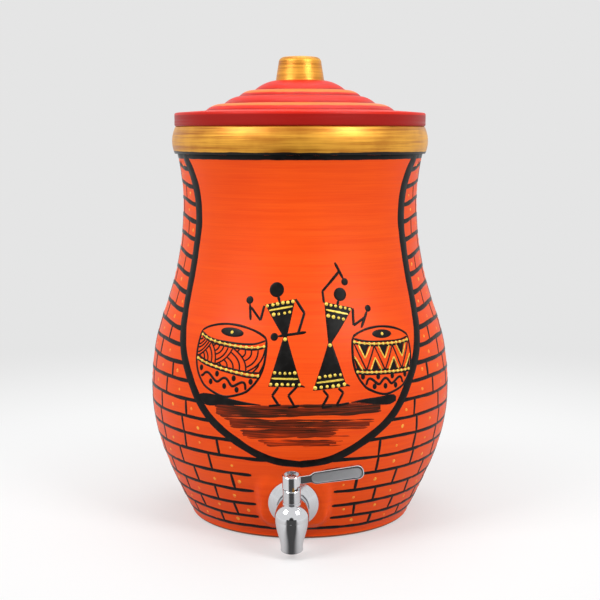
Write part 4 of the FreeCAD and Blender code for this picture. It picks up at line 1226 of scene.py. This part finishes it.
def paint_woven_band(black, picture, drum):
    """Band of fans of arcs that hang from its top and stand on its foot in turn."""
    tops = (-0.97, -0.58, 0.1, 0.97)
    feet = (-0.97, -0.36, 0.56, 0.93)
    high, low = 0.09, drum.band - 0.04
    fans = len(tops) + len(feet) - 2
    full_arcs, last_arcs = 5, 2
    rounding = 0.64
    steps = 12
    corner = Vector((tops[0], high))
    boundary = [Vector((tops[0], high + (low - high) * step / steps)) for step in range(steps + 1)]
    for number in range(fans):
        hangs = number % 2 == 0
        after = number // 2 + 1
        tip = Vector((tops[after], high)) if hangs else Vector((feet[after], low))
        arcs = full_arcs if number < fans - 1 else last_arcs
        for arc in range(1, arcs + 1):
            share = arc / arcs
            start = corner.lerp(tip, share)
            end = boundary[round(share * steps)]
            bulge = corner + (start + end - 2 * corner) * rounding
            curve = []
            for step in range(steps + 1):
                way = step / steps
                spot = start * (1 - way)**2 + bulge * 2 * way * (1 - way) + end * way**2
                curve.append(spot)
            black.stroke([drum.band_place(*spot) for spot in curve], picture.limb * 0.62,
                         step=1.8, shake=0.1)
        corner = boundary[-1]
        boundary = list(reversed(curve))


def paint_triangle_band(black, gold, picture, drum):
    """Zigzag line with a black triangle edged in gold in each of its teeth."""
    teeth = 3
    end = 0.95
    width = 2 * end / teeth
    top, foot = 0.08, drum.band - 0.035
    nip = Vector((0.4, 0))
    zig = []
    for half_tooth in range(2 * teeth + 1):
        middle = -end + width * half_tooth / 2
        hangs = half_tooth % 2 == 1
        base, away = (top, foot) if hangs else (foot, top)
        zig.append(drum.band_place(middle, away))
        tip = drum.band_place(middle, base + (away - base) * 0.42)
        left = drum.band_place(max(middle - width * 0.25, -end), base)
        right = drum.band_place(min(middle + width * 0.25, end), base)
        black.patch([left, tip - nip], [right, tip + nip], step=1.6, columns=5)
        gold_tip = drum.band_place(middle, base + (away - base) * 0.52)
        for side in (-1, 1):
            across = middle + side * width * 0.3
            if abs(across) < end + 0.01:
                gold.stroke([drum.band_place(across, base), gold_tip], picture.bead_line * 0.6,
                            picture.bead_rise * 0.6, step=1.6)
    for start, after in zip(zig, zig[1:]):
        black.stroke([start, after], picture.limb * 0.6, step=1.8)


# Steps of the build

class PotStep(bpy.types.Operator):
    """Shared by the steps that build the pot."""

    bl_options = {"REGISTER", "UNDO"}

    def wall(self, context):
        return Wall(context.scene.pot_shape, context.scene.pad_shape)


class WATERPOT_OT_clay(PotStep):
    """Build the thrown pot with its collar, pad and tap hole"""

    bl_idname = "waterpot.clay"
    bl_label = "Clay pot"

    def execute(self, context):
        shape = context.scene.pot_shape
        wall = self.wall(context)
        foot = Vector((shape.foot_radius, 0))
        outer = wall_line(shape)
        edge = bend(foot, outer[0], upright(shape.foot_edge_height,
                                            shape.foot_edge_radius - shape.foot_radius), LEFT,
                    FOOT_STEP)
        collar_foot = Vector((shape.collar_radius, shape.collar_height))
        collar_top = Vector((shape.collar_radius, shape.rim_height - shape.rim_round))
        lip = Vector((shape.collar_radius - shape.rim_round, shape.rim_height))
        inner_lip = Vector((shape.mouth_radius + shape.rim_round, shape.rim_height))
        mouth = Vector((shape.mouth_radius, shape.rim_height - shape.rim_round))
        under = [Vector((0, 0))] + run(Vector((0, 0)), foot, UNDER_STEP) + edge[:-1]
        collar = run(outer[-1], collar_foot, KNOB_EDGE_STEP)
        collar += bend(collar_foot, collar_top, shape.collar_crown, LEFT, COLLAR_STEP)
        collar += bend(collar_top, lip, shape.rim_round, LEFT, EDGE_STEP)
        rim = run(lip, inner_lip, RING_STEP)
        rim += bend(inner_lip, mouth, shape.rim_round, LEFT, EDGE_STEP)
        inner = inner_line(shape)
        line = under + outer + collar + rim + inner
        first_outer = len(under)
        last_outer = len(under) + len(outer) - 1
        first_inner = len(line) - len(inner)
        kinds = [RAW] * (len(under) - 1) + [PAINTED] * len(outer) + [GILDED] * (len(collar) - 1)
        kinds += [RAW] * (len(line) - 1 - len(kinds))
        pad = context.scene.pad_shape

        def place(index, radius, height, around):
            if first_outer <= index <= last_outer:
                return wall.place(around, height)
            if last_outer < index < first_inner:
                wave = noise.noise(Vector((math.sin(around) * 2, math.cos(around) * 2, 9)))
                radius -= shape.coat * (0.6 + 0.4 * wave)
            if index >= first_inner and height > shape.base and math.cos(around) > 0.8:
                flat, across, rise = wall.facing(around, height, pad.seat_depth)
                away = math.hypot(across, rise) - pad.seat_radius
                share = smooth(-0.2 * MM, 2 * MM, away)
                radius = flat * (1 - share) + radius * share
            return Vector((radius * math.sin(around), -radius * math.cos(around), height))

        piece = lathe("painted_pot", line, POT_SIDES, place, kinds)
        along = Vector((0, -math.cos(pad.tilt), -math.sin(pad.tilt)))
        face = Vector((0, -pad.reach, pad.height))
        paints = context.scene.paint_colours
        dress(piece, "pot", "painted_clay", wall_paint(paints),
              gold_paint(paints, "gold_collar_paint", shape.collar_height + 2.3 * MM),
              raw_clay(paints))
        bore(piece, face - along * 2 * pad.seat_depth, face + along * pad.seat_depth,
             pad.hole_radius, RAW)
        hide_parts("pot_body")
        return {"FINISHED"}


class WATERPOT_OT_lid(PotStep):
    """Build the stepped lid with its gold knob and locating ring"""

    bl_idname = "waterpot.lid"
    bl_label = "Lid"

    def execute(self, context):
        shape = context.scene.lid_shape
        base = context.scene.pot_shape.rim_height
        top = [Vector((shape.brim_radius - shape.brim_round, base + shape.brim_height))]
        steps = [Vector((radius * MM, base + height * MM)) for radius, height, _ in LID_STEPS]
        steps.append(Vector((LID_TOP_STEP[0] * MM, base + LID_TOP_STEP[1] * MM)))
        top += run(top[0], steps[0], FLANK_STEP)
        for start, end, (_, _, crown) in zip(steps, steps[1:], LID_STEPS):
            top += bend(start, end, crown * MM, LEFT, LID_RING_STEP)
        knob_foot = Vector((shape.knob_foot, base + shape.knob_foot_height))
        knob_edge = Vector((shape.knob_top, base + shape.knob_edge_height))
        knob_lip = Vector((shape.knob_top - shape.knob_edge, knob_edge.y + shape.knob_rise))
        crown = Vector((0, knob_lip.y + shape.knob_dome))
        knob = run(top[-1], knob_foot, FOOT_STEP) + run(knob_foot, knob_edge, KNOB_STEP)
        knob += bend(knob_edge, knob_lip, upright(shape.knob_edge, shape.knob_rise), LEFT,
                     KNOB_EDGE_STEP)
        knob += bend(knob_lip, crown, upright(shape.knob_dome, knob_lip.x), LEFT,
                     CROWN_STEP)[:-1]
        knob.append(crown)
        inside = shape.ring_radius - shape.ring_width
        ring_floor = base - shape.ring_depth
        roof = Vector((shape.hollow_flat, base + shape.hollow_top))
        hollow_side = Vector((inside, base + shape.hollow_edge))
        low_in = Vector((inside, ring_floor + shape.ring_round))
        low_in_end = Vector((inside + shape.ring_round, ring_floor))
        low_out = Vector((shape.ring_radius - shape.ring_round, ring_floor))
        low_out_end = Vector((shape.ring_radius, ring_floor + shape.ring_round))
        seat = Vector((shape.ring_radius, base))
        brim_low = Vector((shape.brim_radius - shape.brim_round, base))
        brim_low_end = Vector((shape.brim_radius, base + shape.brim_round))
        brim_high = Vector((shape.brim_radius, base + shape.brim_height - shape.brim_round))
        under = [Vector((0, roof.y))] + run(Vector((0, roof.y)), roof, ROOF_STEP)
        under += run(roof, hollow_side, INSIDE_STEP) + run(hollow_side, low_in, RING_STEP)
        under += bend(low_in, low_in_end, shape.ring_round, LEFT, RING_EDGE_STEP)
        under += run(low_in_end, low_out) + bend(low_out, low_out_end, shape.ring_round, LEFT,
                                                 RING_EDGE_STEP)
        under += run(low_out_end, seat, FLANK_STEP) + run(seat, brim_low, SEAT_STEP)
        side = bend(brim_low, brim_low_end, shape.brim_round, LEFT, EDGE_STEP)
        side += run(brim_low_end, brim_high, BRIM_SIDE_STEP)
        side += bend(brim_high, top[0], shape.brim_round, LEFT, EDGE_STEP)[:-1]
        line = under + side + top + knob
        kinds = [RAW] * (len(under) - 1) + [PAINTED] * (len(side) + len(top))
        kinds += [GILDED] * (len(line) - 1 - len(kinds))

        def place(index, radius, height, around):
            if index >= len(under):
                turned = Vector((math.sin(around), math.cos(around), height * 30))
                wave = noise.noise(turned * 1.7) * 0.75 + noise.noise(turned * 6) * 0.25
                inward = shape.unevenness * (0.5 + 0.5 * wave)
                radius = max(radius - inward, radius * 0.9)
                height -= inward * 0.7
            return Vector((radius * math.sin(around), -radius * math.cos(around), height))

        piece = lathe("painted_lid", line, LID_SIDES, place, kinds)
        paints = context.scene.paint_colours
        dress(piece, "lid_piece", "lid_clay", lid_paint(paints, base + shape.brim_height),
              gold_paint(paints, "gold_knob_paint"), raw_clay(paints))
        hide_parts("lid")
        return {"FINISHED"}


class WATERPOT_OT_bricks(PotStep):
    """Paint the brick pattern round the pot"""

    bl_idname = "waterpot.bricks"
    bl_label = "Bricks"

    def execute(self, context):
        scene = context.scene
        wall = self.wall(context)
        lines = Coat("mortar_lines", wall, scene.picture, 11)
        uprights = Coat("upright_mortar", wall, scene.picture, 12)
        dots = Coat("brick_dots", wall, scene.picture, 13)
        pattern = Bricks(wall, scene.picture, scene.brickwork)
        top = scene.pot_shape.collar_height / MM - 8
        heights = mortar_heights(scene.brickwork, top)
        for height in heights:
            pattern.level(lines, height)
        for number, (low, high) in enumerate(zip(heights, heights[1:] + [top + 5])):
            pattern.uprights(uprights, dots, low, high, number)
        black = line_paint(scene.paint_colours)
        lines.finish(black)
        uprights.finish(black)
        dots.finish(dot_paint(scene.paint_colours))
        return {"FINISHED"}


class WATERPOT_OT_outline(PotStep):
    """Paint the line round the picture and the band under the collar"""

    bl_idname = "waterpot.outline"
    bl_label = "Outline"

    def execute(self, context):
        scene = context.scene
        picture = scene.picture
        coat = Coat("picture_outline", self.wall(context), picture, 21)
        half = [outline_place(picture, *place) for place in OUTLINE_HALF]
        for side in (-1, 1):
            places = [Vector((-side * 2, half[0].y))]
            places += [Vector((place.x * side, place.y)) for place in half[1:]]
            coat.stroke(places, picture.outline, lift=picture.line * 1.1, shake=0.12,
                        wide_end=picture.side_outline)
        band = Coat("collar_line", self.wall(context), picture, 22)
        full = math.tau * picture.scale_radius / MM
        height = scene.pot_shape.collar_height / MM - 2.0
        strokes, gaps = 6, 8
        for index in range(strokes):
            places = [Vector((full * (index + step / gaps) / strokes, height))
                      for step in range(gaps + 1)]
            band.stroke(places, 4.6 * MM, shake=0.2, taper=0.95)
        black = line_paint(scene.paint_colours)
        coat.finish(black)
        band.finish(black)
        return {"FINISHED"}


class WATERPOT_OT_dancers(PotStep):
    """Paint the two dancers with their rows of beads"""

    bl_idname = "waterpot.dancers"
    bl_label = "Dancers"

    def execute(self, context):
        scene = context.scene
        black = Coat("dancers", self.wall(context), scene.picture, 31)
        gold = Coat("dancers_beads", self.wall(context), scene.picture, 32)
        for figure in DANCERS:
            paint_dancer(black, gold, scene.picture, figure)
        black.finish(line_paint(scene.paint_colours))
        gold.finish(bead_paint(scene.paint_colours))
        return {"FINISHED"}


class WATERPOT_OT_drums(PotStep):
    """Paint the two drums with their bands"""

    bl_idname = "waterpot.drums"
    bl_label = "Drums"

    def execute(self, context):
        scene = context.scene
        black = Coat("drums", self.wall(context), scene.picture, 41)
        gold = Coat("drums_beads", self.wall(context), scene.picture, 42)
        left = Drum((-56, 181.7), half=29.9, depth=50.5, lean=math.radians(-3.2), tip=9.4,
                    sag=5.3, band=0.5, tilt=0.105)
        right = Drum((68.9, 179.6), half=27, depth=47.3, lean=math.radians(-2.8), tip=9,
                     sag=3.1, band=0.575, tilt=0)
        for drum in (left, right):
            paint_drum(black, gold, scene.picture, drum)
        paint_woven_band(black, scene.picture, left)
        paint_triangle_band(black, gold, scene.picture, right)
        black.finish(line_paint(scene.paint_colours))
        gold.finish(bead_paint(scene.paint_colours))
        return {"FINISHED"}


class WATERPOT_OT_ground(PotStep):
    """Paint the ground under the dancers"""

    bl_idname = "waterpot.ground"
    bl_label = "Ground"

    def execute(self, context):
        scene = context.scene
        black = Coat("ground_mounds", self.wall(context), scene.picture, 51)
        for upper, lower in MOUNDS:
            black.patch(upper, lower)
        black.finish(line_paint(scene.paint_colours))
        brown = Coat("ground_strokes", self.wall(context), scene.picture, 52)
        dice = brown.dice
        for left, right, low, middle, high, tall, rows in GROUND_BANDS:
            ends = ((left + 3, low), ((left + right) / 2, middle), (right - 5, high))
            brown.patch([(across, up + tall * 0.45) for across, up in ends],
                        [(across, up - tall * 0.45) for across, up in ends], lift=0.06 * MM)
            for row in range(rows):
                share = row / (rows - 1)
                drop = tall * (0.5 - share)
                start = left + dice.uniform(-2, 2) + 5 * share
                end = right + dice.uniform(-5, 2) - 6 * share
                wide = tall / rows * dice.uniform(1.4, 2.1)
                brown.stroke([(start, low + drop), ((start + end) / 2, middle + drop),
                              (end, high + drop)], wide * MM, lift=dice.uniform(0.1, 0.2) * MM,
                             shake=0.7, taper=0.35, wide_end=wide * dice.uniform(0.5, 1) * MM)
        for up in LOOSE_STROKES:
            start = dice.uniform(-22, 4)
            end = start + dice.uniform(24, 42)
            brown.stroke([(start, up), ((start + end) / 2, up + dice.uniform(-0.8, 0.8)),
                          (end, up + dice.uniform(-1, 1))], 1.5 * MM, lift=0.15 * MM,
                         shake=0.9, taper=0.3, wide_end=0.7 * MM)
        brown.finish(dry_brush(scene.paint_colours))
        return {"FINISHED"}


CHROME = srgb(226, 227, 230)
STEEL = srgb(190, 191, 194)
BRASS = srgb(214, 160, 84)
RUBBER = srgb(24, 24, 25)
WHITE_PLASTIC = srgb(228, 227, 220)
DARK_PLASTIC = srgb(30, 30, 31)


class WATERPOT_OT_tap(bpy.types.Operator):
    """Give the tap and its clamping pieces their metals, rubbers and plastics"""

    bl_idname = "waterpot.tap"
    bl_label = "Tap"

    def execute(self, context):
        cast = metal("cast_chrome", CHROME, 0.07, 0.25 * MM)
        turned = turned_metal("turned_chrome", CHROME, 0.13, "Z")
        flange = turned_metal("pressed_chrome", CHROME, 0.16, "Y")
        rubber = soft_plastic("black_rubber", RUBBER, 0.75, 700)
        finishes = {
            "tap_body": cast, "bonnet": turned, "wall_flange": flange,
            "lever_handle": lever_metal("lever_chrome", CHROME, LEVER_JOINT),
            "handle_screw": turned_metal("screw_steel", STEEL, 0.3, "Z"),
            "stop_pin": turned_metal("pin_brass", BRASS, 0.2, "Z"),
            "threaded_shank": turned_metal("shank_brass", BRASS, 0.24, "Y"),
            "valve_plug": turned_metal("plug_brass", BRASS, 0.22, "Z"),
            "back_nut": metal("nut_chrome", CHROME, 0.22, 0.05 * MM, 200),
            "back_washer": turned_metal("washer_steel", STEEL, 0.32, "Y"),
            "outer_gasket": rubber, "inner_gasket": rubber, "plug_o_rings": rubber,
            "seat_ring": soft_plastic("white_seat_plastic", WHITE_PLASTIC, 0.45, 900),
            "friction_washer": soft_plastic("dark_plastic", DARK_PLASTIC, 0.5, 900),
        }
        for node, material in finishes.items():
            for slot in frame["nodes"][node].material_slots:
                slot.material = material
        return {"FINISHED"}


# Softboxes: place, height of the place on the axis that they face, size
LAMPS = {"key": ((-1.5, -1.1, 1.65), 0.25, 1.0), "fill": ((1.4, -1.2, 1.5), 0.25, 0.8),
         "top": ((0.1, 0.5, 1.8), 0.2, 1.1)}
# Dark gap of the mirrored room: Y of a ray's way from its middle to its edge, and how bright
ROOM_GAP = (-0.985, -0.95, 0.04, 0.85)
# Painted shade on the floor that only glossy rays see, a dark wedge in front of the pot for metal
# to mirror: its tip on Y, how fast it widens, and its soft edge
WEDGE_TIP = -0.13
WEDGE_SLOPE = 0.6
WEDGE_EDGE = 0.02
FLOOR_REACH = 1.1
FLOOR_SIDES = 96
SENSOR_WIDTH = 36


def lamp(name, place, aim, size, power):
    """Square softbox."""
    light = bpy.data.lights.new(name, "AREA")
    light.shape = "SQUARE"
    light.size = size
    light.energy = power
    box = bpy.data.objects.new(name, light)
    box.location = place
    box.rotation_mode = "QUATERNION"
    box.rotation_quaternion = (Vector(aim) - Vector(place)).to_track_quat("-Z", "Y")
    bpy.context.scene.collection.objects.link(box)


def pale_room(studio):
    """Pale backdrop for the eye, and a room with a dark gap in front for metal to mirror."""
    world = bpy.data.worlds.new("pale_room")
    world.use_nodes = True
    tree = Tree(world.node_tree)
    soft = tree.nodes["Background"]
    tree.feed(soft.inputs["Color"], (studio.room, studio.room, studio.room, 1))
    seen = tree.node("ShaderNodeBackground", {"Color": tint(studio.backdrop) + (1,)})
    way = tree.node("ShaderNodeTexCoord").outputs["Generated"]
    ahead = tree.node("ShaderNodeSeparateXYZ", {0: way}).outputs[1]
    mirrored = tree.node("ShaderNodeBackground", {"Color": tree.spread(ahead, *ROOM_GAP)})
    path = tree.node("ShaderNodeLightPath").outputs
    glossy = tree.sum(path["Is Glossy Ray"], path["Is Transmission Ray"], "MAXIMUM")
    lit = tree.either(glossy, soft, mirrored)
    shown = tree.either(path["Is Camera Ray"], lit, seen)
    tree.feed(tree.nodes["World Output"].inputs["Surface"], shown.outputs[0])
    bpy.context.scene.world = world


def floor_finish(studio):
    """Pale table that runs into the backdrop further out, with a wedge of painted shade in front
    that only glossy rays see.
    """
    finish = Finish("pale_floor", specular=0.2)
    path = finish.node("ShaderNodeLightPath").outputs
    dull = tint(studio.floor, 0.5)
    lit = tint(studio.floor, 0.9)
    finish.cover(finish.blend(path["Is Camera Ray"], dull, lit), 0.55)
    place = finish.place()
    out = finish.node("ShaderNodeVectorMath", {0: place}, operation="LENGTH").outputs["Value"]
    tone = finish.blend(finish.spread(out, 0.3, 1.0), tint(studio.floor), tint(studio.backdrop))
    seen = finish.sum(path["Is Camera Ray"], path["Is Glossy Ray"], "MAXIMUM")
    seen = finish.sum(seen, path["Is Transmission Ray"], "MAXIMUM")
    # Painted shade: for glossy rays the floor goes dark in a wedge in front of the pot
    split = finish.node("ShaderNodeSeparateXYZ", {0: place})
    wide = finish.sum(split.outputs[0], 0, "ABSOLUTE")
    ahead = finish.sum(finish.sum(split.outputs[1], -WEDGE_TIP), WEDGE_SLOPE, "MULTIPLY")
    beside = finish.spread(finish.sum(wide, ahead), -WEDGE_EDGE, WEDGE_EDGE, start=0.05)
    mirrored = finish.sum(path["Is Glossy Ray"], finish.sum(1.0, beside, "SUBTRACT"), "MULTIPLY")
    glow = finish.node("ShaderNodeEmission", {
        "Color": tone, "Strength": finish.sum(1.0, mirrored, "SUBTRACT")})
    share = finish.sum(finish.spread(out, 0.08, 0.5, 0.4, 1.0), seen, "MULTIPLY")
    share = finish.sum(share, mirrored, "MAXIMUM")
    shown = finish.either(share, finish.shader, glow)
    finish.feed(finish.nodes["Material Output"].inputs["Surface"], shown.outputs[0])
    return finish.material


class WATERPOT_OT_studio(bpy.types.Operator):
    """Set up the floor, the lamps, the pale room and the camera"""

    bl_idname = "waterpot.studio"
    bl_label = "Studio"

    def execute(self, context):
        scene = context.scene
        studio = scene.studio
        turn = scene.picture.turn
        mesh = bpy.data.meshes.new("floor")
        turns = [math.tau * step / FLOOR_SIDES for step in range(FLOOR_SIDES)]
        ring = [(FLOOR_REACH * math.cos(way), FLOOR_REACH * math.sin(way), 0) for way in turns]
        mesh.from_pydata(ring, [], [tuple(range(FLOOR_SIDES))])
        mesh.materials.append(floor_finish(studio))
        floor = bpy.data.objects.new("floor", mesh)
        floor.location.z = -0.2 * MM
        scene.collection.objects.link(floor)
        floor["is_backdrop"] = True
        for kind, (place, aim, size) in LAMPS.items():
            lamp(kind + "_lamp", place, (0, 0, aim), size, getattr(studio, kind))
        pale_room(studio)
        camera = bpy.data.cameras.new("camera")
        camera.lens = studio.lens
        camera.sensor_width = SENSOR_WIDTH
        eye = bpy.data.objects.new("camera", camera)
        eye.location = (studio.distance * math.sin(turn), -studio.distance * math.cos(turn),
                        studio.camera_height)
        eye.rotation_euler = (math.radians(90) - studio.pitch, 0, turn)
        scene.collection.objects.link(eye)
        scene.camera = eye
        scene.view_settings.view_transform = "Standard"
        return {"FINISHED"}


class WATERPOT_PT_build(bpy.types.Panel):
    """Steps that build the pot, one after the other"""

    bl_idname = "WATERPOT_PT_build"
    bl_label = "Water Pot"
    bl_space_type = "VIEW_3D"
    bl_region_type = "UI"
    bl_category = "Water Pot"

    def draw(self, context):
        for step in STEPS:
            self.layout.operator(step.bl_idname)


GROUPS = {"pot_shape": PotShape, "pad_shape": PadShape, "lid_shape": LidShape,
          "paint_colours": PaintColours, "picture": Picture, "brickwork": Brickwork,
          "studio": Studio}
STEPS = (WATERPOT_OT_clay, WATERPOT_OT_lid, WATERPOT_OT_bricks, WATERPOT_OT_outline,
         WATERPOT_OT_dancers, WATERPOT_OT_drums, WATERPOT_OT_ground, WATERPOT_OT_tap,
         WATERPOT_OT_studio)


def register():
    for group in GROUPS.values():
        bpy.utils.register_class(group)
    for name, group in GROUPS.items():
        setattr(bpy.types.Scene, name, bpy.props.PointerProperty(type=group))
    for step in STEPS + (WATERPOT_PT_build,):
        bpy.utils.register_class(step)


def unregister():
    for step in reversed(STEPS + (WATERPOT_PT_build,)):
        bpy.utils.unregister_class(step)
    for name, group in GROUPS.items():
        delattr(bpy.types.Scene, name)
        bpy.utils.unregister_class(group)


def main():
    """Build everything and work out how large it came out."""
    register()
    bpy.ops.waterpot.clay()
    bpy.ops.waterpot.lid()
    bpy.ops.waterpot.bricks()
    bpy.ops.waterpot.outline()
    bpy.ops.waterpot.dancers()
    bpy.ops.waterpot.drums()
    bpy.ops.waterpot.ground()
    bpy.ops.waterpot.tap()
    bpy.ops.waterpot.studio()
    boxes = {"cad": CAD_BOX, "visual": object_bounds()}
    sizes = {name: [list(corner) for corner in box] for name, box in boxes.items()}


if __name__ == "__main__":
    main()
